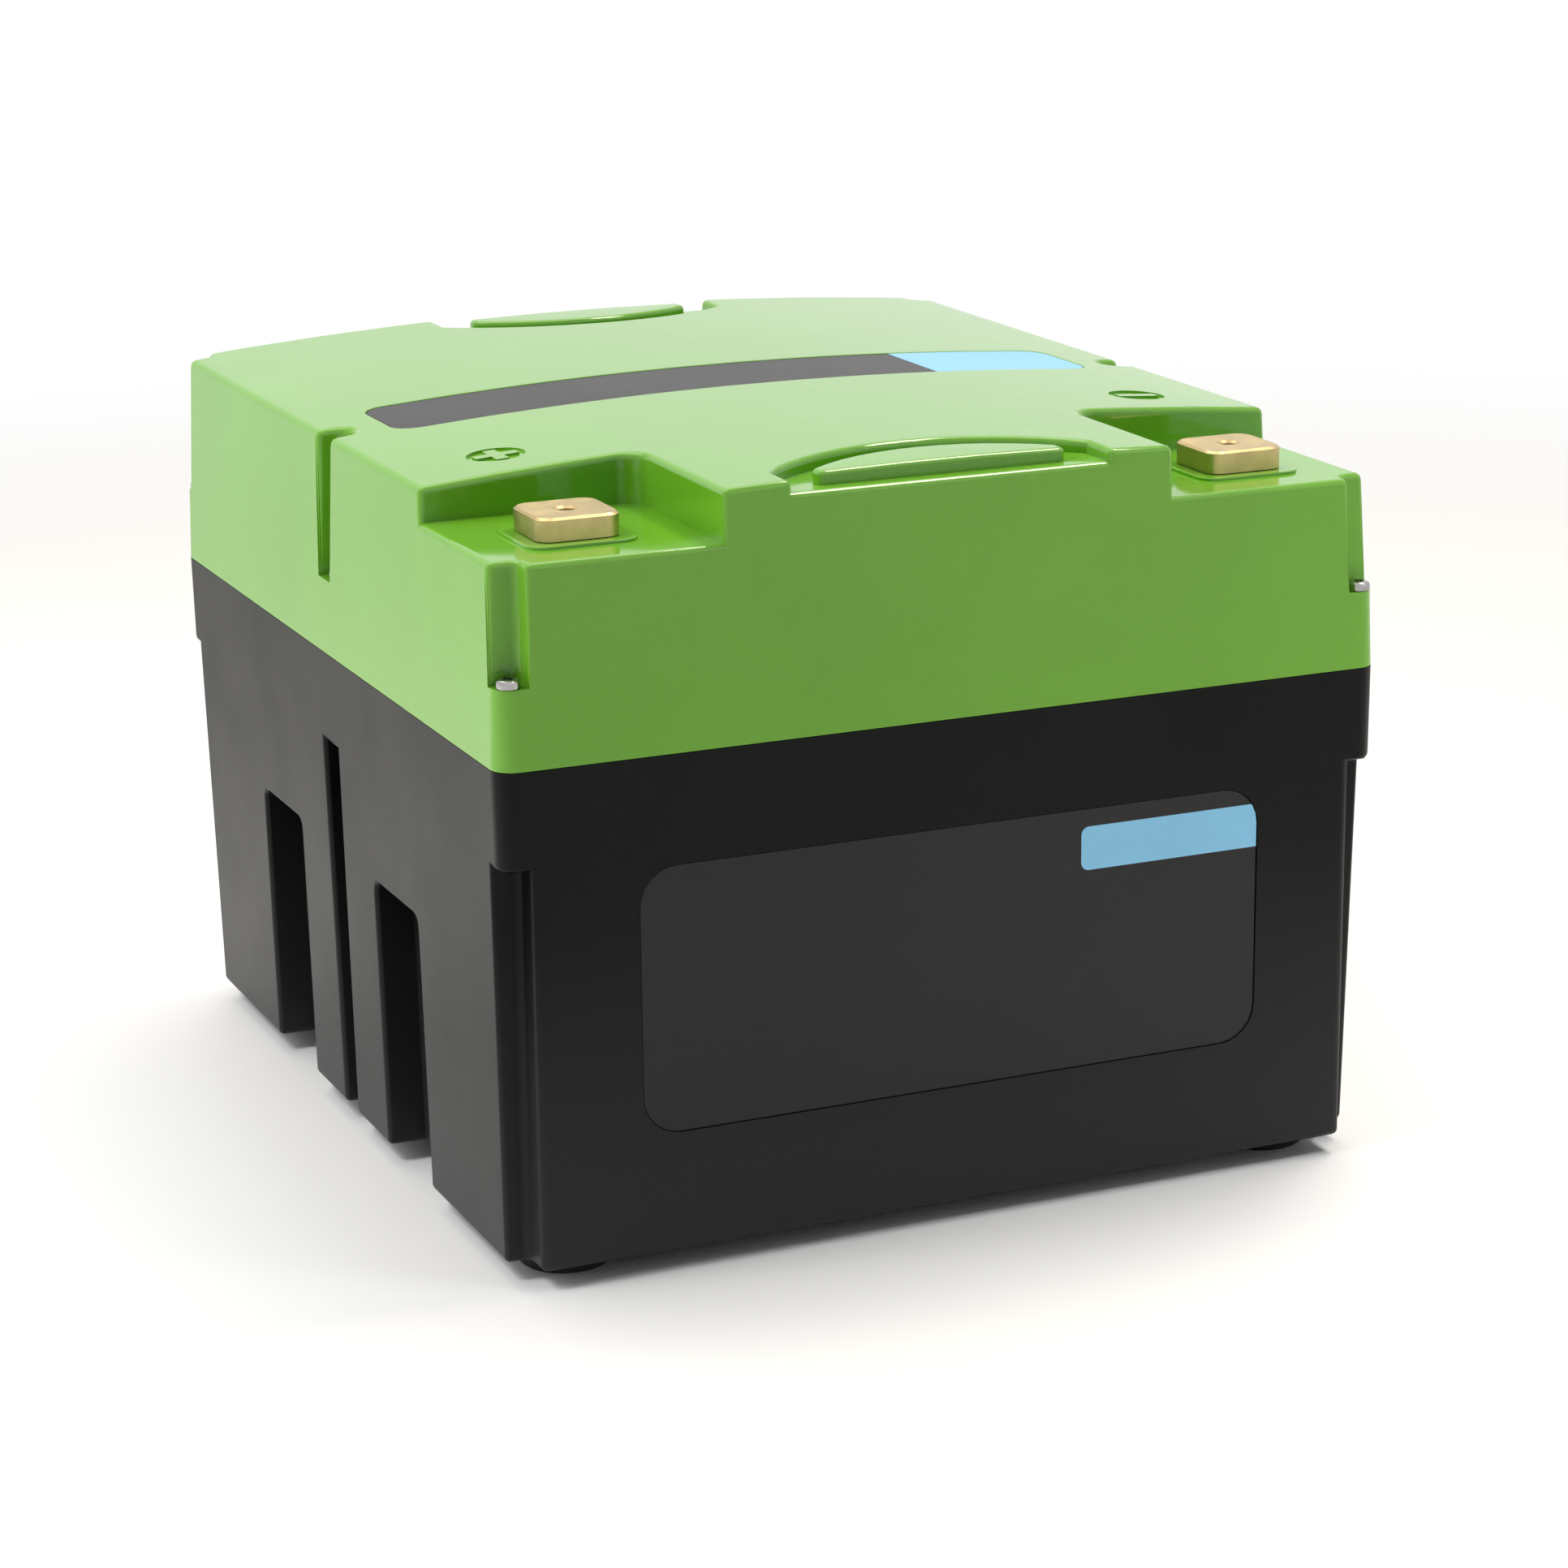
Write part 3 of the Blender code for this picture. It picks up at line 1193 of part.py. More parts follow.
def build_straps(material):
    """Copper straps: busbar to positive terminal, busbar to board, board to negative terminal."""
    half = STRAP_THICKNESS / 2
    on_busbar = BUSBAR_TOP + FIT_GAP + half
    on_board = BOARD_TOP + FIT_GAP + half
    under_leg = LEG_Z - FIT_GAP - half
    riser = TERMINAL_Y + STRAP_STANDOFF
    front = TERMINAL_Y - STRAP_FRONT
    board_end = -PLATE_HALF_Y + STRAP_LAP
    routes = {
        "strap_positive": (
            -TERMINAL_X,
            [(front, on_busbar), (riser, on_busbar), (riser, under_leg), (front, under_leg)],
        ),
        "strap_negative_in": (
            NEGATIVE_IN_X,
            [(front, on_busbar), (riser, on_busbar), (riser, on_board), (board_end, on_board)],
        ),
        "strap_negative_out": (
            TERMINAL_X,
            [(board_end, on_board), (riser, on_board), (riser, under_leg), (front, under_leg)],
        ),
    }
    holes = bmesh.new()
    bore = BOLT_RADIUS + FIT_GAP
    low = under_leg - STRAP_THICKNESS
    high = under_leg + STRAP_THICKNESS
    for place in terminal_places().values():
        add_turned(holes, [(0, low), (bore, low), (bore, high), (0, high)], place, SMALL_TURN_STEPS)
    cutter = add_object("cut_strap_holes", holes)
    for name, (x, path) in routes.items():
        bm = bmesh.new()
        add_strap(bm, path, x)
        boolean(add_object(name, bm, material), cutter)


def main():
    """Build every piece of the battery."""
    clear_scene()
    black = make_material("black_plastic", (0.012, 0.012, 0.013), 0.42, 0.0)
    green = make_material("green_plastic", (0.16, 0.42, 0.03), 0.22, 0.0)
    rubber = make_material("black_rubber", (0.01, 0.01, 0.01), 0.8, 0.0)
    steel = make_material("stainless_steel", (0.62, 0.62, 0.62), 0.28, 1.0)
    brass = make_material("brass", (0.78, 0.56, 0.26), 0.3, 1.0)
    label = make_material("label_film", (0.035, 0.035, 0.037), 0.35, 0.0)
    aluminium = make_material("cell_aluminium", (0.55, 0.57, 0.6), 0.4, 1.0)
    copper = make_material("copper", (0.72, 0.36, 0.2), 0.3, 1.0)
    sheet = make_material("insulation_sheet", (0.55, 0.5, 0.36), 0.6, 0.0)
    foam = make_material("foam", (0.08, 0.08, 0.085), 0.9, 0.0)
    cover = make_material("cover_plastic", (0.05, 0.05, 0.052), 0.5, 0.0)
    board = make_material("circuit_board", (0.02, 0.16, 0.06), 0.45, 0.0)

    build_base_case(black)
    build_lid(green)
    build_lid_seal(rubber)
    build_feet(rubber)
    build_lid_screws(steel)
    build_screw_inserts(brass)
    for pole, place in terminal_places().items():
        build_terminal(pole, place, brass)
    build_terminal_seals(rubber)
    build_terminal_bolts(steel)
    build_labels(label)
    build_cells(aluminium)
    build_insulation(sheet, foam)
    build_busbars(copper)
    build_cell_cover(cover)
    build_electronics(aluminium, board, steel)
    build_straps(copper)


main()
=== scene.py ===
"""Looks of a deep cycle battery: glossy lid, satin case, brass terminals, labels, studio and camera."""

import logging
import math
from dataclasses import dataclass, field
from enum import Enum
from typing import Callable

import bpy
from mathutils import Matrix, Vector


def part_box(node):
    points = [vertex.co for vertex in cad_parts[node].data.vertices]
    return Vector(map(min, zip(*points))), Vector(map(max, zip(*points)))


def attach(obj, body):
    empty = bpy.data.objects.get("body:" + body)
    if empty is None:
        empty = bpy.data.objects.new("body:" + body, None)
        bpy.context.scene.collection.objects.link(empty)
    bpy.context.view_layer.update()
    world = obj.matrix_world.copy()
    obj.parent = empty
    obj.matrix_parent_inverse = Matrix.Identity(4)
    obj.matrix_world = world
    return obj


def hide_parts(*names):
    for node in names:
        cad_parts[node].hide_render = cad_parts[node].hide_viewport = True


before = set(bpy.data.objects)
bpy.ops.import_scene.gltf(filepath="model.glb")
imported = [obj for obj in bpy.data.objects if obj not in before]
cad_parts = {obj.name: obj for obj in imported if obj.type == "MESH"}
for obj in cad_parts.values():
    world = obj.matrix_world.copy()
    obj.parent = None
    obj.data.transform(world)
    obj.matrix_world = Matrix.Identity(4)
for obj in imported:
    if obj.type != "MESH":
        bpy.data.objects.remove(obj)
LOG = logging.getLogger("battery")

Colour = tuple[float, float, float]
Point = tuple[float, float, float]
EdgeRule = Callable[[Vector, Vector], bool]

MM = 0.001
ROOT = "root"

# Most values of a noise texture lie between these two.
NOISE_LOW = 0.3
NOISE_HIGH = 0.7

# Sockets of the Mix node when it mixes colours: factor, first colour, second colour, and the result.
MIX_COLOUR_INPUTS = (0, 6, 7)
MIX_COLOUR_OUTPUT = 2

EVEN: Point = (1.0, 1.0, 1.0)
WHITE: Colour = (1.0, 1.0, 1.0)
WARM_WHITE: Colour = (1.0, 0.93, 0.82)


class Slot(Enum):
    """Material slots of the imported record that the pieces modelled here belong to."""

    BLACK_PLASTIC = "black_plastic"
    GREEN_PLASTIC = "green_plastic"
    FOOT_RUBBER = "foot_rubber"
    STAINLESS_STEEL = "stainless_steel"
    BRASS = "brass"
    LABEL_FILM = "label_film"


class Pole(Enum):
    """The two terminals, by the end of their node names."""

    POSITIVE = "positive"
    NEGATIVE = "negative"


@dataclass(frozen=True)
class Finish:
    """Surface of one material, with colour drift, roughness drift and a bumped grain.

    Lengths are in metres. The grain may be drawn out along an axis, as on brushed metal.
    A painted reflection of the floor, where there is any, is a grey mixed into the colour that is strongest
    at the floor and ends at a given height.
    """

    name: str
    colour: Colour
    roughness: tuple[float, float]
    metallic: float = 0.0
    tint: float = 0.06
    drift_size: float = 40 * MM
    grain_size: float = 0.8 * MM
    grain_depth: float = 0.01 * MM
    grain_stretch: Point = EVEN
    wave_size: float = 0.0
    wave_depth: float = 0.0
    wave_stretch: Point = EVEN
    specular: float = 0.5
    coat: float = 0.0
    coat_roughness: float = 0.05
    # Grey and top height of a painted floor reflection; there is none while the grey is 0.
    painted_reflection_grey: float = 0.0
    painted_reflection_top: float = 0.0

    def material(self) -> bpy.types.Material:
        """Build the node tree once and hand it out again afterwards.

        Returns:
            The material of this finish.
        """
        known = bpy.data.materials.get(self.name)
        if known is not None:
            return known
        graph = Graph(self.name)
        shader = graph.shader
        shader.inputs["Metallic"].default_value = self.metallic
        shader.inputs["Specular IOR Level"].default_value = self.specular
        shader.inputs["Coat Weight"].default_value = self.coat
        shader.inputs["Coat Roughness"].default_value = self.coat_roughness
        drift = graph.noise(self.drift_size, detail=3.0)
        colour = graph.ramp(drift, self.shade(-self.tint), self.shade(self.tint))
        # Painted reflection: the colour turns towards a lighter grey near the floor.
        if self.painted_reflection_grey > 0:
            colour = graph.with_painted_reflection(colour, self.painted_reflection_grey, self.painted_reflection_top)
        graph.link(colour, shader.inputs["Base Color"])
        grain = graph.noise(self.grain_size, detail=4.0, stretch=self.grain_stretch)
        spread = graph.mix(drift, grain)
        low, high = self.roughness
        graph.link(graph.spread(spread, low, high), shader.inputs["Roughness"])
        normal = graph.bump(grain, self.grain_depth)
        if self.wave_depth > 0:
            wave = graph.noise(self.wave_size, detail=1.0, stretch=self.wave_stretch)
            normal = graph.bump(wave, self.wave_depth, normal)
        graph.link(normal, shader.inputs["Normal"])
        return graph.material

    def shade(self, change: float) -> Colour:
        """Lighten or darken the colour.

        Args:
            change: Share by which the colour goes up or down.

        Returns:
            The changed colour.
        """
        red, green, blue = (channel * (1 + change) for channel in self.colour)
        return red, green, blue


class Graph:
    """Node tree of one material, in Object coordinates."""

    def __init__(self, name: str) -> None:
        """Start a material with a Principled shader.

        Args:
            name: Name of the material.
        """
        self.material = bpy.data.materials.new(name)
        self.material.use_nodes = True
        self.nodes = self.material.node_tree.nodes
        self.shader = self.nodes["Principled BSDF"]
        self.place = self.nodes.new("ShaderNodeTexCoord").outputs["Object"]

    def link(self, source: bpy.types.NodeSocket, target: bpy.types.NodeSocket) -> None:
        """Join an output to an input."""
        self.material.node_tree.links.new(source, target)

    def noise(self, size: float, detail: float, stretch: Point = EVEN) -> bpy.types.NodeSocket:
        """Soft noise.

        Args:
            size: Length of one blob in metres.
            detail: Octaves.
            stretch: How much longer the blobs are along each axis.

        Returns:
            The noise value, from 0 to 1.
        """
        mapping = self.nodes.new("ShaderNodeMapping")
        mapping.inputs["Scale"].default_value = [1 / share for share in stretch]
        self.link(self.place, mapping.inputs["Vector"])
        texture = self.nodes.new("ShaderNodeTexNoise")
        texture.inputs["Scale"].default_value = 1 / size
        texture.inputs["Detail"].default_value = detail
        self.link(mapping.outputs["Vector"], texture.inputs["Vector"])
        return texture.outputs["Fac"]

    def ramp(self, value: bpy.types.NodeSocket, low: Colour, high: Colour) -> bpy.types.NodeSocket:
        """Colour between two shades.

        Args:
            value: What drives the ramp, from 0 to 1.
            low: Colour at NOISE_LOW and below.
            high: Colour at NOISE_HIGH and above.

        Returns:
            The colour.
        """
        ramp = self.nodes.new("ShaderNodeValToRGB")
        ends = ramp.color_ramp.elements
        ends[0].position = NOISE_LOW
        ends[0].color = (*low, 1.0)
        ends[1].position = NOISE_HIGH
        ends[1].color = (*high, 1.0)
        self.link(value, ramp.inputs["Fac"])
        return ramp.outputs["Color"]

    def with_painted_reflection(self, colour: bpy.types.NodeSocket, shade: float, top: float) -> bpy.types.NodeSocket:
        """Painted reflection: a grey mixed into the colour, strongest at the floor and thinning out
        upwards.

        Args:
            colour: Colour of the surface without the painted reflection.
            shade: Grey of the painted reflection.
            top: Height above the floor where it ends.

        Returns:
            The dusted colour.
        """
        axes = self.nodes.new("ShaderNodeSeparateXYZ")
        self.link(self.place, axes.inputs["Vector"])
        share = self.nodes.new("ShaderNodeMapRange")
        share.inputs["From Max"].default_value = top
        share.inputs["To Min"].default_value = 1.0
        share.inputs["To Max"].default_value = 0.0
        self.link(axes.outputs["Z"], share.inputs["Value"])
        node = self.nodes.new("ShaderNodeMix")
        node.data_type = "RGBA"
        factor, own_colour, painted_reflection_grey = (node.inputs[index] for index in MIX_COLOUR_INPUTS)
        self.link(share.outputs["Result"], factor)
        self.link(colour, own_colour)
        painted_reflection_grey.default_value = (shade, shade, shade, 1.0)
        return node.outputs[MIX_COLOUR_OUTPUT]

    def mix(self, first: bpy.types.NodeSocket, second: bpy.types.NodeSocket) -> bpy.types.NodeSocket:
        """Mean of two values.

        Args:
            first: One value.
            second: The other value.

        Returns:
            The mean.
        """
        node = self.nodes.new("ShaderNodeMix")
        node.inputs["Factor"].default_value = 0.5
        self.link(first, node.inputs["A"])
        self.link(second, node.inputs["B"])
        return node.outputs["Result"]

    def spread(self, value: bpy.types.NodeSocket, low: float, high: float) -> bpy.types.NodeSocket:
        """Stretch a noise value over a range.

        Args:
            value: Noise, mostly between NOISE_LOW and NOISE_HIGH.
            low: Result at NOISE_LOW.
            high: Result at NOISE_HIGH.

        Returns:
            The stretched value.
        """
        node = self.nodes.new("ShaderNodeMapRange")
        node.inputs["From Min"].default_value = NOISE_LOW
        node.inputs["From Max"].default_value = NOISE_HIGH
        node.inputs["To Min"].default_value = low
        node.inputs["To Max"].default_value = high
        self.link(value, node.inputs["Value"])
        return node.outputs["Result"]

    def bump(
        self,
        height: bpy.types.NodeSocket,
        depth: float,
        normal: bpy.types.NodeSocket | None = None,
    ) -> bpy.types.NodeSocket:
        """Bumped normal.

        Args:
            height: Height map.
            depth: Relief in metres.
            normal: A bumped normal to build on.

        Returns:
            The new normal.
        """
        node = self.nodes.new("ShaderNodeBump")
        node.inputs["Strength"].default_value = 1.0
        node.inputs["Distance"].default_value = depth
        self.link(height, node.inputs["Height"])
        if normal is not None:
            self.link(normal, node.inputs["Normal"])
        return node.outputs["Normal"]


LID_GREEN = Finish(
    "gloss_green_plastic", (0.142, 0.385, 0.022), (0.06, 0.10), tint=0.03, drift_size=70 * MM,
    grain_size=1.1 * MM, grain_depth=0.0012 * MM, wave_size=28 * MM, wave_depth=0.02 * MM,
    specular=0.45, coat=0.1,
)
# The case's colour is painted lighter towards the floor, fading out 130 mm up: a painted reflection of the
# bright floor in the lower case.
CASE_BLACK = Finish(
    "satin_black_plastic", (0.0035, 0.0035, 0.0036), (0.30, 0.42), tint=0.25, drift_size=55 * MM,
    grain_size=0.45 * MM, grain_depth=0.004 * MM, wave_size=30 * MM, wave_depth=0.06 * MM,
    wave_stretch=(1.0, 1.0, 5.0), specular=0.12, painted_reflection_grey=0.026, painted_reflection_top=130 * MM,
)
LABEL_CHARCOAL = Finish(
    "charcoal_label_film", (0.012, 0.012, 0.0126), (0.34, 0.44), tint=0.12, drift_size=90 * MM,
    grain_size=0.35 * MM, grain_depth=0.002 * MM, specular=0.25,
)
TAG_BLUE = Finish(
    "pale_blue_label_print", (0.22, 0.53, 0.76), (0.40, 0.50), tint=0.03, drift_size=60 * MM,
    grain_size=0.35 * MM, grain_depth=0.002 * MM, specular=0.45,
)
TERMINAL_BRASS = Finish(
    "machined_brass", (0.56, 0.43, 0.21), (0.30, 0.48), metallic=1.0, tint=0.12, drift_size=7 * MM,
    grain_size=0.25 * MM, grain_depth=0.003 * MM, grain_stretch=(1.0, 1.0, 14.0),
)
SCREW_STEEL = Finish(
    "bright_stainless_steel", (0.40, 0.39, 0.38), (0.14, 0.24), metallic=1.0, tint=0.05, drift_size=3 * MM,
    grain_size=0.25 * MM, grain_depth=0.002 * MM,
)
FOOT_BLACK = Finish(
    "foot_rubber_black", (0.010, 0.010, 0.010), (0.62, 0.80), tint=0.2, drift_size=12 * MM,
    grain_size=0.5 * MM, grain_depth=0.02 * MM, specular=0.3,
)
SEAL_BLACK = Finish("seal_rubber_black", (0.018, 0.018, 0.018), (0.6, 0.75))
CELL_SILVER = Finish(
    "drawn_aluminium", (0.55, 0.57, 0.60), (0.30, 0.45), metallic=1.0, grain_size=0.4 * MM,
    grain_depth=0.004 * MM, grain_stretch=(1.0, 1.0, 20.0),
)
SHEET_TAN = Finish("glass_epoxy_sheet", (0.55, 0.50, 0.36), (0.5, 0.65), grain_size=1.2 * MM)
FOAM_GREY = Finish(
    "closed_cell_foam", (0.08, 0.08, 0.085), (0.85, 0.95), grain_size=1.5 * MM, grain_depth=0.2 * MM,
)
COPPER_BARE = Finish(
    "bare_copper", (0.72, 0.36, 0.20), (0.25, 0.42), metallic=1.0, tint=0.15, drift_size=14 * MM,
    grain_depth=0.004 * MM, grain_stretch=(1.0, 12.0, 1.0),
)
COVER_GREY = Finish("moulded_cover_plastic", (0.05, 0.05, 0.052), (0.45, 0.58))
PLATE_SILVER = Finish(
    "milled_aluminium", (0.60, 0.61, 0.63), (0.28, 0.42), metallic=1.0, grain_size=0.5 * MM,
    grain_depth=0.004 * MM, grain_stretch=(16.0, 1.0, 1.0),
)
BOARD_GREEN = Finish("solder_mask", (0.02, 0.16, 0.06), (0.35, 0.5), tint=0.1, grain_size=2 * MM)
FLOOR_PALE = Finish(
    "pale_floor", (0.86, 0.86, 0.86), (0.55, 0.7), tint=0.004, drift_size=400 * MM, grain_depth=0.0,
)


class Shaper:
    """Modelling steps done with Blender's operators on one object at a time.

    Faces that lean by less than FLAT_ANGLE degrees count as one flat face.
    """

    MERGE_DISTANCE: float = 0.004 * MM
    FLAT_ANGLE: float = 0.25
    FACE_WEIGHT: int = 80

    @staticmethod
    def pick(item: bpy.types.Object) -> None:
        """Select one object alone and make it active.

        Args:
            item: The object.
        """
        bpy.ops.object.select_all(action="DESELECT")
        item.select_set(True)
        bpy.context.view_layer.objects.active = item

    @staticmethod
    def name(label: str) -> bpy.types.Object:
        """Name the object that an operator has just added.

        Args:
            label: Its name.

        Returns:
            The object.
        """
        item = bpy.context.active_object
        item.name = label
        item.data.name = label
        return item

    @classmethod
    def carry_over(cls, node: str, label: str) -> bpy.types.Object:
        """Copy a CAD node's mesh, join its loose triangles and clear its flat faces of inner edges.

        Args:
            node: Name of the CAD node.
            label: Name of the copy.

        Returns:
            The copy, at the origin.
        """
        item = bpy.data.objects.new(label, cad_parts[node].data.copy())
        item.data.name = label
        item.data.materials.clear()
        bpy.context.scene.collection.objects.link(item)
        cls.pick(item)
        bpy.ops.object.mode_set(mode="EDIT")
        bpy.ops.mesh.select_all(action="SELECT")
        bpy.ops.mesh.remove_doubles(threshold=cls.MERGE_DISTANCE)
        bpy.ops.mesh.customdata_custom_splitnormals_clear()
        bpy.ops.mesh.normals_make_consistent(inside=False)
        bpy.ops.mesh.dissolve_limited(angle_limit=math.radians(cls.FLAT_ANGLE))
        bpy.ops.object.mode_set(mode="OBJECT")
        return item

    @classmethod
    def select_edges(cls, item: bpy.types.Object, rule: EdgeRule, sharper: float = 40.0) -> int:
        """Select the sharp edges of an object that a rule picks.

        Args:
            item: The object, left in edit mode with only those edges selected.
            rule: Takes the two ends of an edge.
            sharper: Least angle between the faces of an edge, in degrees.

        Returns:
            How many edges are selected.
        """
        cls.pick(item)
        bpy.ops.object.mode_set(mode="EDIT")
        bpy.ops.mesh.select_mode(type="EDGE")
        bpy.ops.mesh.select_all(action="DESELECT")
        bpy.ops.mesh.edges_select_sharp(sharpness=math.radians(sharper))
        bpy.ops.object.mode_set(mode="OBJECT")
        mesh = item.data
        picked = 0
        for edge in mesh.edges:
            ends = [mesh.vertices[index].co for index in edge.vertices]
            edge.select = edge.select and rule(*ends)
            picked += edge.select
        for vertex in mesh.vertices:
            vertex.select = False
        for face in mesh.polygons:
            face.select = False
        bpy.ops.object.mode_set(mode="EDIT")
        return picked

    @classmethod
    def round_edges(cls, item: bpy.types.Object, rule: EdgeRule, radius: float, steps: int = 3) -> None:
        """Round the edges that a rule picks.

        Args:
            item: The object.
            rule: Takes the two ends of an edge.
            radius: Radius of the rounding.
            steps: Faces across the rounding.
        """
        picked = cls.select_edges(item, rule)
        if picked:
            bpy.ops.mesh.bevel(offset=radius, segments=steps, affect="EDGES", clamp_overlap=True)
        bpy.ops.object.mode_set(mode="OBJECT")
        LOG.info("%s: %d edges rounded by %.2f mm", item.name, picked, radius / MM)

    @classmethod
    def apply(cls, item: bpy.types.Object, modifier: bpy.types.Modifier) -> None:
        """Apply a modifier."""
        cls.pick(item)
        bpy.ops.object.modifier_apply(modifier=modifier.name)

    @classmethod
    def boolean(cls, item: bpy.types.Object, tool: bpy.types.Object, operation: str = "DIFFERENCE") -> None:
        """Cut or join with a tool, which is then removed.

        Args:
            item: The object that stays.
            tool: The object to cut or join with.
            operation: Name of the boolean operation.
        """
        modifier = item.modifiers.new("boolean", "BOOLEAN")
        modifier.operation = operation
        modifier.solver = "EXACT"
        modifier.object = tool
        cls.apply(item, modifier)
        bpy.data.objects.remove(tool, do_unlink=True)

    @classmethod
    def smooth(cls, item: bpy.types.Object, degrees: float = 32.0) -> None:
        """Smooth shading with large faces kept flat.

        Args:
            item: The object.
            degrees: Edges sharper than this stay sharp.
        """
        cls.pick(item)
        bpy.ops.object.shade_smooth_by_angle(angle=math.radians(degrees))
        modifier = item.modifiers.new("weights", "WEIGHTED_NORMAL")
        modifier.keep_sharp = True
        modifier.weight = cls.FACE_WEIGHT
        cls.apply(item, modifier)

    @classmethod
    def flatten(cls, item: bpy.types.Object) -> None:
        """Move an object's place and turn into its mesh."""
        cls.pick(item)
        bpy.ops.object.transform_apply(location=True, rotation=True, scale=True)


def publish(item: bpy.types.Object, finish: Finish, slot: Slot, *nodes: str) -> None:
    """Give a finished piece its material and its body, and hide the CAD nodes that it stands for.

    Args:
        item: The piece.
        finish: Its surface.
        slot: Not used.
        nodes: CAD nodes that it replaces.
    """
    item.data.materials.clear()
    item.data.materials.append(finish.material())
    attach(item, ROOT)
    if nodes:
        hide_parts(*nodes)


@dataclass
class PolaritySign:
    """Round dish sunk into the lid, with a plus or a minus standing in it.

    The level is a height between the dish's floor and its rim.
    """

    centre: tuple[float, float]
    plus: bool
    radius: float = 10.5 * MM
    depth: float = 1.0 * MM
    bar_length: float = 16.0 * MM
    bar_width: float = 4.6 * MM
    edge: float = 0.3 * MM
    sides: int = 72
    level: float = 0.0

    def cut(self, shell: bpy.types.Object, surface: Vector, slope: float) -> None:
        """Cut the dish into the lid.

        Args:
            shell: The lid.
            surface: Point of the lid's top at the sign's centre.
            slope: Lean of the top there, in radians about Y.
        """
        bpy.ops.object.select_all(action="DESELECT")
        dish_height = 2 * self.depth
        bpy.ops.mesh.primitive_cylinder_add(vertices=self.sides, radius=self.radius, depth=dish_height)
        dish = Shaper.name("tool_dish")
        turns = (0.0, math.pi / 2) if self.plus else (0.0,)
        for turn in turns:
            bpy.ops.object.select_all(action="DESELECT")
            bpy.ops.mesh.primitive_cube_add(size=1.0, rotation=(0.0, 0.0, turn))
            bar = Shaper.name("tool_bar")
            bar.scale = (self.bar_length, self.bar_width, 4 * dish_height)
            Shaper.flatten(bar)
            Shaper.boolean(dish, bar)
        dish.rotation_euler = (0.0, slope, 0.0)
        dish.location = surface
        Shaper.flatten(dish)
        Shaper.boolean(shell, dish)

    def covers(self, first: Vector, second: Vector) -> bool:
        """Tell whether an edge belongs to the rim of the dish or of its bars.

        Args:
            first: One end of the edge.
            second: Its other end.

        Returns:
            True for an edge that lies within the dish's reach and above its level.
        """
        reach = self.radius + self.edge
        near = all(math.dist((end.x, end.y), self.centre) < reach for end in (first, second))
        return near and min(first.z, second.z) > self.level


@dataclass
class Lid:
    """Glossy lid with softened rims and the two polarity signs."""

    crown_drop: float = 8.4 * MM
    sign_x: float = 126.5 * MM
    sign_y: float = -80.5 * MM
    pad_edge: float = 0.5 * MM
    pad_half: float = 20.0 * MM
    pad_inner: float = 14.0 * MM
    pad_slack: float = 0.1 * MM
    label_edge: float = 0.6 * MM
    label_slack: float = 0.15 * MM

    def __post_init__(self) -> None:
        """Read the size of the CAD lid once."""
        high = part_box("lid")[1]
        self.half = high.x
        self.top = high.z

    def surface(self, x: float, y: float) -> Vector:
        """Point of the crowned top.

        Args:
            x: Distance from the middle.
            y: Distance towards the back.

        Returns:
            The point on the surface.
        """
        share = x / self.half
        return Vector((x, y, self.top - self.crown_drop * share * share))

    def build(self) -> None:
        """Make the lid."""
        shell = Shaper.carry_over("lid", "lid_shell")
        for side, plus in ((-1, True), (1, False)):
            x = side * self.sign_x
            sign = PolaritySign((x, self.sign_y), plus)
            slope = 2 * self.crown_drop * x / self.half**2
            place = self.surface(x, self.sign_y)
            sign.level = place.z - sign.depth / 2
            sign.cut(shell, place, slope)
            Shaper.round_edges(shell, sign.covers, sign.edge, steps=2)
        self.soften_label_rim(shell)
        self.soften_pads(shell)
        Shaper.smooth(shell)
        publish(shell, LID_GREEN, Slot.GREEN_PLASTIC, "lid")

    def soften_label_rim(self, shell: bpy.types.Object) -> None:
        """Round the rim of the recess that the top label lies in.

        Args:
            shell: The lid.
        """
        low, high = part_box("top_label")
        reach = 2 * self.label_edge

        def on_rim(first: Vector, second: Vector) -> bool:
            """Tell whether both ends of an edge lie on the top, beside the label.

            Args:
                first: One end of the edge.
                second: Its other end.

            Returns:
                True for an edge of the recess's rim.
            """
            for end in (first, second):
                inside_x = low.x - reach < end.x < high.x + reach
                inside_y = low.y - reach < end.y < high.y + reach
                on_top = abs(end.z - self.surface(end.x, end.y).z) < self.label_slack
                if not (inside_x and inside_y and on_top):
                    return False
            return True

        Shaper.round_edges(shell, on_rim, self.label_edge, steps=2)

    def soften_pads(self, shell: bpy.types.Object) -> None:
        """Round the top edges of the pads under the terminals.

        Args:
            shell: The lid.
        """
        outer = self.pad_half + self.pad_slack
        for pole in Pole:
            low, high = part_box(f"terminal_{pole.value}")
            middle = (low + high) / 2
            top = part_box(f"terminal_seal_{pole.value}")[1].z

            def on_pad(first: Vector, second: Vector) -> bool:
                """Tell whether both ends of an edge lie on the outer rim of the pad.

                Args:
                    first: One end of the edge.
                    second: Its other end.

                Returns:
                    True for an edge of the pad's top.
                """
                for end in (first, second):
                    across = max(abs(end.x - middle.x), abs(end.y - middle.y))
                    on_top = abs(end.z - top) <= self.pad_slack
                    if not (on_top and self.pad_inner < across < outer):
                        return False
                return True

            Shaper.round_edges(shell, on_pad, self.pad_edge, steps=2)


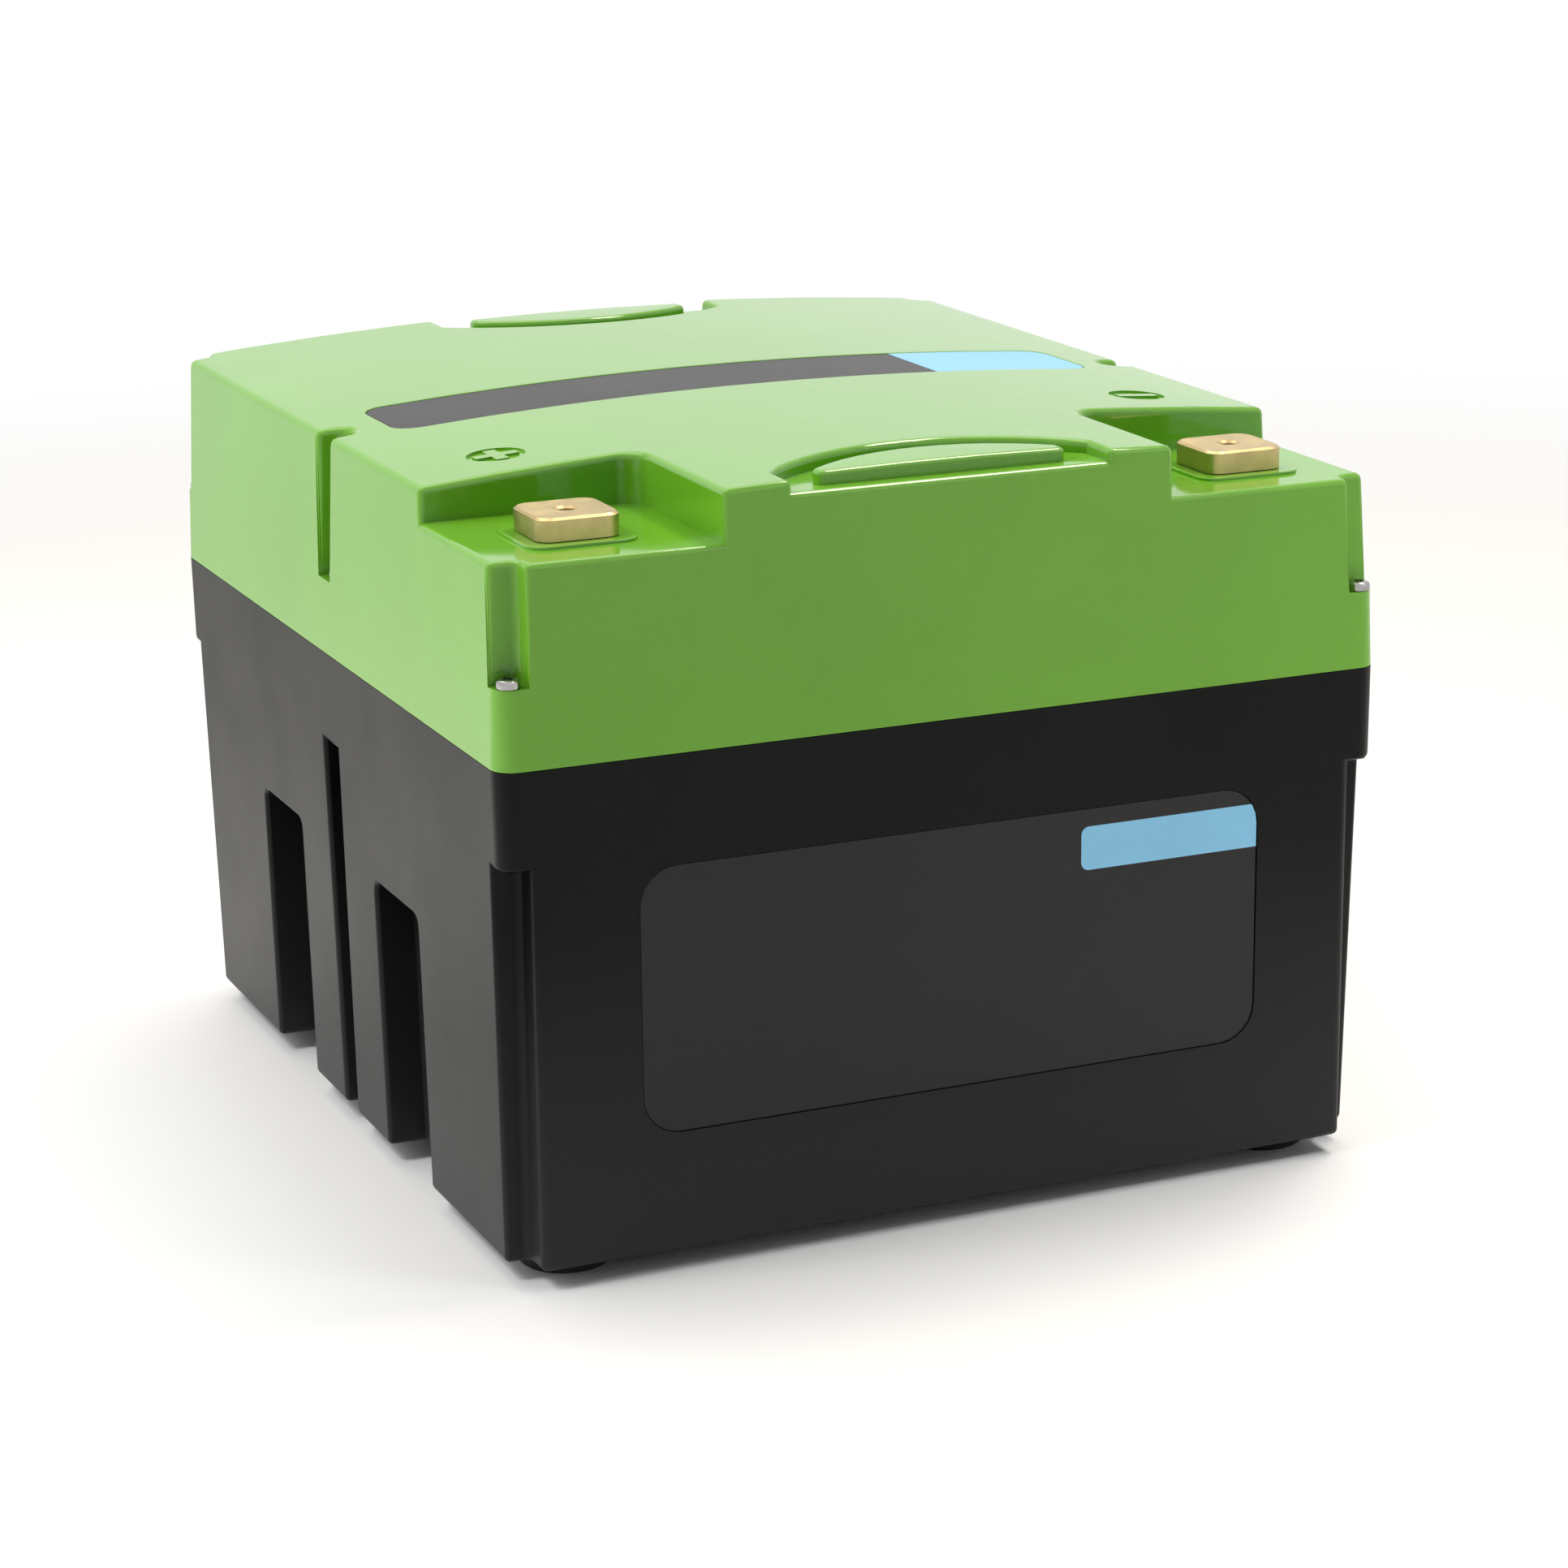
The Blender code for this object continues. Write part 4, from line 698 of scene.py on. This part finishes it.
@dataclass
class Case:
    """Satin black tub and its rubber feet."""

    label_edge: float = 0.9 * MM
    label_reach: float = 1.0 * MM
    recess_reach: float = 3.0 * MM
    foot_edge: float = 0.5 * MM
    feet: tuple[str, ...] = ("front_left", "front_right", "rear_left", "rear_right")

    def build(self) -> None:
        """Make the tub and the feet."""
        shell = Shaper.carry_over("base_case", "case_shell")
        low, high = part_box("front_label")
        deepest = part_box("base_case")[0].y + self.recess_reach
        reach = self.label_reach

        def on_rim(first: Vector, second: Vector) -> bool:
            """Tell whether both ends of an edge lie at the front, round the label.

            Args:
                first: One end of the edge.
                second: Its other end.

            Returns:
                True for an edge of the label's recess.
            """
            for end in (first, second):
                inside_x = low.x - reach < end.x < high.x + reach
                inside_z = low.z - reach < end.z < high.z + reach
                if not (inside_x and inside_z and end.y < deepest):
                    return False
            return True

        Shaper.round_edges(shell, on_rim, self.label_edge, steps=2)
        Shaper.smooth(shell)
        publish(shell, CASE_BLACK, Slot.BLACK_PLASTIC, "base_case")
        for place in self.feet:
            foot = Shaper.carry_over(f"foot_{place}", f"foot_pad_{place}")
            Shaper.round_edges(foot, lambda first, second: True, self.foot_edge)
            Shaper.smooth(foot)
            publish(foot, FOOT_BLACK, Slot.FOOT_RUBBER, f"foot_{place}")


@dataclass
class Labels:
    """Charcoal label plates with a pale blue tag on each."""

    film_edge: float = 0.15 * MM
    tag_rise: float = 0.08 * MM
    front_tag_left: float = 48.0 * MM
    front_tag_top: float = 6.5 * MM
    front_tag_height: float = 16.0 * MM
    front_tag_corner: float = 3.0 * MM
    front_tag_slack: float = 0.1 * MM
    front_tag_depth: float = 0.3 * MM
    top_tag_left: float = 75.0 * MM

    def build(self) -> None:
        """Make both plates and both tags."""
        for node in ("front_label", "top_label"):
            plate = Shaper.carry_over(node, f"{node}_plate")
            Shaper.round_edges(plate, lambda first, second: True, self.film_edge, steps=2)
            Shaper.smooth(plate)
            publish(plate, LABEL_CHARCOAL, Slot.LABEL_FILM, node)
        self.front_tag()
        self.top_tag()

    @staticmethod
    def keep_side(item: bpy.types.Object, place: Point, normal: Point) -> None:
        """Cut an object by a plane and keep what lies behind it.

        Args:
            item: The object.
            place: Point on the plane.
            normal: Direction of what is cut away.
        """
        Shaper.pick(item)
        bpy.ops.object.mode_set(mode="EDIT")
        bpy.ops.mesh.select_all(action="SELECT")
        bpy.ops.mesh.bisect(plane_co=place, plane_no=normal, use_fill=True, clear_outer=True)
        bpy.ops.object.mode_set(mode="OBJECT")

    def front_tag(self) -> None:
        """Tag at the upper right of the front label."""
        tag = Shaper.carry_over("front_label", "front_label_tag")
        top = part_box("front_label")[1].z - self.front_tag_top
        left_end = self.front_tag_left + self.front_tag_slack
        self.keep_side(tag, (self.front_tag_left, 0.0, 0.0), (-1.0, 0.0, 0.0))
        self.keep_side(tag, (0.0, 0.0, top), (0.0, 0.0, 1.0))
        self.keep_side(tag, (0.0, 0.0, top - self.front_tag_height), (0.0, 0.0, -1.0))

        def at_left(first: Vector, second: Vector) -> bool:
            """Tell whether an edge runs through the tag at its left end.

            Args:
                first: One end of the edge.
                second: Its other end.

            Returns:
                True for the two edges that become the round corners.
            """
            runs_through = abs(first.y - second.y) > self.front_tag_depth
            return runs_through and max(first.x, second.x) < left_end

        Shaper.round_edges(tag, at_left, self.front_tag_corner, steps=6)
        tag.location.y = -self.tag_rise
        Shaper.flatten(tag)
        Shaper.smooth(tag)
        publish(tag, TAG_BLUE, Slot.LABEL_FILM)

    def top_tag(self) -> None:
        """Tag at the right end of the top label."""
        tag = Shaper.carry_over("top_label", "top_label_tag")
        self.keep_side(tag, (self.top_tag_left, 0.0, 0.0), (-1.0, 0.0, 0.0))
        tag.location.z = self.tag_rise
        Shaper.flatten(tag)
        Shaper.smooth(tag)
        publish(tag, TAG_BLUE, Slot.LABEL_FILM)


@dataclass
class Terminals:
    """Brass blocks with a tapped hole."""

    smooth_angle: float = 30.0

    def build(self) -> None:
        """Make both blocks."""
        for pole in Pole:
            node = f"terminal_{pole.value}"
            block = Shaper.carry_over(node, f"{node}_block")
            Shaper.smooth(block, self.smooth_angle)
            publish(block, TERMINAL_BRASS, Slot.BRASS, node)


@dataclass
class LidScrews:
    """Pan-head screws with a cross recess, modelled once and copied."""

    places: tuple[str, ...] = (
        "front_left", "front_right", "rear_left", "rear_right", "mid_left", "mid_right",
    )
    head_height: float = 3.0 * MM
    head_round: float = 1.6 * MM
    head_sides: int = 48
    shank_radius: float = 2.0 * MM
    shank_sides: int = 32
    cross_length: float = 4.6 * MM
    cross_width: float = 1.0 * MM
    cross_depth: float = 1.5 * MM
    cross_turns: tuple[float, float] = (20.0, 110.0)

    def build(self) -> None:
        """Make one screw and set a copy of it in each place."""
        model = self.model()
        for place in self.places:
            node = f"lid_screw_{place}"
            low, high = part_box(node)
            screw = bpy.data.objects.new(f"{node}_pan_head", model.data.copy())
            bpy.context.scene.collection.objects.link(screw)
            screw.location = ((low.x + high.x) / 2, (low.y + high.y) / 2, high.z)
            Shaper.flatten(screw)
            publish(screw, SCREW_STEEL, Slot.STAINLESS_STEEL, node)
        bpy.data.objects.remove(model, do_unlink=True)

    def model(self) -> bpy.types.Object:
        """Shape one screw with the top of its head at the origin.

        Returns:
            The screw.
        """
        low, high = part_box(f"lid_screw_{self.places[0]}")
        radius = (high.x - low.x) / 2
        bpy.ops.object.select_all(action="DESELECT")
        middle = -self.head_height / 2
        bpy.ops.mesh.primitive_cylinder_add(
            vertices=self.head_sides, radius=radius, depth=self.head_height, location=(0.0, 0.0, middle)
        )
        screw = Shaper.name("screw_model")
        Shaper.flatten(screw)
        Shaper.round_edges(
            screw, lambda first, second: min(first.z, second.z) > middle, self.head_round, steps=6
        )
        bpy.ops.object.select_all(action="DESELECT")
        length = high.z - low.z - self.head_height / 2
        bpy.ops.mesh.primitive_cylinder_add(
            vertices=self.shank_sides,
            radius=self.shank_radius,
            depth=length,
            location=(0.0, 0.0, middle - length / 2),
        )
        Shaper.boolean(screw, Shaper.name("tool_shank"), "UNION")
        for turn in self.cross_turns:
            bpy.ops.object.select_all(action="DESELECT")
            bpy.ops.mesh.primitive_cube_add(size=1.0, rotation=(0.0, 0.0, math.radians(turn)))
            bar = Shaper.name("tool_cross")
            bar.scale = (self.cross_length, self.cross_width, 2 * self.cross_depth)
            Shaper.flatten(bar)
            Shaper.boolean(screw, bar)
        Shaper.smooth(screw)
        return screw


@dataclass
class InnerPieces:
    """Materials of the CAD nodes that stay as they are, inside the closed case."""

    finishes: dict[str, Finish] = field(
        default_factory=lambda: {
            "lid_seal": SEAL_BLACK,
            "terminal_seal_": SEAL_BLACK,
            "terminal_bolt_": SCREW_STEEL,
            "screw_insert_": TERMINAL_BRASS,
            "cell_cover": COVER_GREY,
            "cell_": CELL_SILVER,
            "divider_": SHEET_TAN,
            "centre_partition": SHEET_TAN,
            "foam_": FOAM_GREY,
            "busbar_": COPPER_BARE,
            "link_": COPPER_BARE,
            "strap_": COPPER_BARE,
            "bms_plate": PLATE_SILVER,
            "bms_board": BOARD_GREEN,
            "bms_screw_": SCREW_STEEL,
            "radio_module": BOARD_GREEN,
        }
    )

    def build(self) -> None:
        """Give each remaining node its material."""
        for name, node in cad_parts.items():
            if node.hide_render:
                continue
            start = next((key for key in self.finishes if name.startswith(key)), None)
            if start is None:
                LOG.warning("%s has no finish", name)
                continue
            node.data.materials.clear()
            node.data.materials.append(self.finishes[start].material())


@dataclass(frozen=True)
class Softbox:
    """Soft light panel, which glossy surfaces may mirror.

    Places are in metres, the power in watts and the spread in degrees.
    """

    name: str
    place: Point
    target: Point
    size: tuple[float, float]
    power: float
    colour: Colour = WHITE
    spread: float = 180.0
    mirrored: bool = True

    def build(self) -> None:
        """Hang the panel."""
        bpy.ops.object.select_all(action="DESELECT")
        bpy.ops.object.light_add(type="AREA", location=self.place)
        lamp = bpy.context.active_object
        lamp.name = self.name
        lamp.data.shape = "RECTANGLE"
        lamp.data.size, lamp.data.size_y = self.size
        lamp.data.energy = self.power
        lamp.data.color = self.colour
        lamp.data.spread = math.radians(self.spread)
        lamp.visible_glossy = self.mirrored
        aim = Vector(self.target) - Vector(self.place)
        lamp.rotation_euler = aim.to_track_quat("-Z", "Y").to_euler()


@dataclass
class Studio:
    """Pale floor that runs out into white, soft lights, and a surround that lights mostly from behind.

    The surround's light grows from dim to bright between two values of the direction's Y.
    """

    floor_half: float = 9.0
    shadow_reach: float = 0.8
    white_reach: float = 1.7
    bright: float = 1.03
    dim: float = 0.02
    light_starts: float = -0.1
    light_full: float = 0.75
    softboxes: tuple[Softbox, ...] = (
        Softbox(
            "overhead", place=(0.0, 0.9, 2.3), target=(0.0, 0.3, 0.0), size=(2.2, 1.4), power=18.0,
            colour=WARM_WHITE, spread=150.0,
        ),
        Softbox(
            "key", place=(0.95, 0.05, 2.3), target=(0.0, 0.0, 0.2), size=(0.9, 0.45), power=25.0,
            colour=WARM_WHITE,
        ),
        Softbox(
            "left_side", place=(-2.3, 0.35, 1.0), target=(-0.15, 0.05, 0.15), size=(2.4, 1.8), power=21.0,
            mirrored=False,
        ),
        Softbox(
            "front_low", place=(1.9, -1.7, 0.6), target=(0.1, -0.15, 0.22), size=(1.8, 1.0), power=3.4,
            spread=90.0, mirrored=False,
        ),
        Softbox(
            "front_strip", place=(0.9, -1.5, 1.5), target=(0.0, -0.1, 0.22), size=(1.8, 0.08), power=2.2,
        ),
        Softbox(
            "front_floor", place=(0.6, -0.7, 1.2), target=(0.35, -0.36, 0.0), size=(0.4, 0.2), power=0.8,
            spread=50.0, mirrored=False,
        ),
        Softbox(
            "left_floor", place=(-1.3, -0.2, 1.6), target=(-0.7, -0.1, 0.0), size=(0.6, 0.6), power=4.2,
            spread=70.0, mirrored=False,
        ),
    )

    def build(self) -> None:
        """Make the floor, the lights and the world."""
        bpy.ops.object.select_all(action="DESELECT")
        bpy.ops.mesh.primitive_plane_add(size=2 * self.floor_half)
        floor = Shaper.name("studio_floor")
        floor.data.materials.append(self.floor_material())
        for softbox in self.softboxes:
            softbox.build()
        self.surround()
        bpy.context.scene.view_settings.view_transform = "Standard"

    @staticmethod
    def seen_rays(tree: bpy.types.NodeTree) -> bpy.types.NodeSocket:
        """Mask of the rays that see the background straight, mirrored or through glass.

        Args:
            tree: Node tree of the floor or of the world.

        Returns:
            1 on those rays, 0 on the rays that light the object.
        """
        rays = tree.nodes.new("ShaderNodeLightPath")
        seen = rays.outputs["Is Camera Ray"]
        for name in ("Is Glossy Ray", "Is Transmission Ray"):
            either = tree.nodes.new("ShaderNodeMath")
            either.operation = "MAXIMUM"
            tree.links.new(seen, either.inputs[0])
            tree.links.new(rays.outputs[name], either.inputs[1])
            seen = either.outputs["Value"]
        return seen

    def floor_material(self) -> bpy.types.Material:
        """Pale floor that keeps the shadow near the object and turns white further out.

        Returns:
            The material.
        """
        material = FLOOR_PALE.material()
        tree = material.node_tree
        nodes, links = tree.nodes, tree.links
        distance = nodes.new("ShaderNodeVectorMath")
        distance.operation = "LENGTH"
        links.new(nodes.new("ShaderNodeTexCoord").outputs["Object"], distance.inputs["Vector"])
        share = nodes.new("ShaderNodeMapRange")
        share.interpolation_type = "SMOOTHSTEP"
        share.inputs["From Min"].default_value = self.shadow_reach
        share.inputs["From Max"].default_value = self.white_reach
        links.new(distance.outputs["Value"], share.inputs["Value"])
        factor = nodes.new("ShaderNodeMath")
        factor.operation = "MULTIPLY"
        links.new(share.outputs["Result"], factor.inputs[0])
        links.new(self.seen_rays(tree), factor.inputs[1])
        mix = nodes.new("ShaderNodeMixShader")
        links.new(factor.outputs["Value"], mix.inputs["Fac"])
        links.new(nodes["Principled BSDF"].outputs["BSDF"], mix.inputs[1])
        links.new(nodes.new("ShaderNodeEmission").outputs["Emission"], mix.inputs[2])
        links.new(mix.outputs["Shader"], nodes["Material Output"].inputs["Surface"])
        return material

    def surround(self) -> None:
        """Show white all round, and light the object mostly from behind."""
        world = bpy.data.worlds.new("studio_surround")
        world.use_nodes = True
        tree = world.node_tree
        nodes, links = tree.nodes, tree.links
        axes = nodes.new("ShaderNodeSeparateXYZ")
        links.new(nodes.new("ShaderNodeTexCoord").outputs["Generated"], axes.inputs["Vector"])
        light = nodes.new("ShaderNodeMapRange")
        light.interpolation_type = "SMOOTHSTEP"
        light.inputs["From Min"].default_value = self.light_starts
        light.inputs["From Max"].default_value = self.light_full
        light.inputs["To Min"].default_value = self.dim
        light.inputs["To Max"].default_value = self.bright
        links.new(axes.outputs["Y"], light.inputs["Value"])
        strength = nodes.new("ShaderNodeMath")
        strength.operation = "MAXIMUM"
        links.new(light.outputs["Result"], strength.inputs[0])
        links.new(self.seen_rays(tree), strength.inputs[1])
        links.new(strength.outputs["Value"], nodes["Background"].inputs["Strength"])
        nodes["Background"].inputs["Color"].default_value = (*WHITE, 1.0)
        bpy.context.scene.world = world


@dataclass(frozen=True)
class PhotoCamera:
    """Camera that stands where the photograph was taken from.

    Angles are in degrees, the sensor in millimetres, and the focal length and the centre in pixels
    of the square frame.
    """

    place: Point = (-0.60007, -1.45751, 0.54975)
    azimuth: float = 24.319
    elevation: float = 14.916
    roll: float = -0.58
    focal: float = 5185.594
    centre: tuple[float, float] = (1091.339, 916.236)
    frame_size: float = 1932.0
    sensor: float = 36.0
    near: float = 0.05

    def build(self) -> None:
        """Add the camera and make it the scene's."""
        angles = (self.azimuth, self.elevation, self.roll)
        azimuth, elevation, roll = (math.radians(angle) for angle in angles)
        level = math.cos(elevation)
        ahead = Vector((math.sin(azimuth) * level, math.cos(azimuth) * level, -math.sin(elevation)))
        right = Vector((math.cos(azimuth), -math.sin(azimuth), 0.0))
        down = ahead.cross(right)
        cosine, sine = math.cos(roll), math.sin(roll)
        right, down = right * cosine - down * sine, right * sine + down * cosine
        turn = Matrix((right, -down, -ahead)).transposed()
        bpy.ops.object.select_all(action="DESELECT")
        bpy.ops.object.camera_add(location=self.place, rotation=turn.to_euler())
        camera = bpy.context.active_object
        camera.name = "photo_camera"
        camera.data.sensor_width = self.sensor
        camera.data.lens = self.sensor * self.focal / self.frame_size
        camera.data.shift_x = (self.frame_size / 2 - self.centre[0]) / self.frame_size
        camera.data.shift_y = (self.centre[1] - self.frame_size / 2) / self.frame_size
        camera.data.clip_start = self.near
        bpy.context.scene.camera = camera


def main() -> None:
    """Build the whole scene and log each part as it is done."""
    logging.basicConfig(level=logging.INFO, format="%(name)s: %(message)s")
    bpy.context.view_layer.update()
    for part in (Lid(), Case(), Labels(), Terminals(), LidScrews(), InnerPieces(), Studio(), PhotoCamera()):
        part.build()
        LOG.info("%s done", type(part).__name__)


if __name__ == "__main__":
    main()
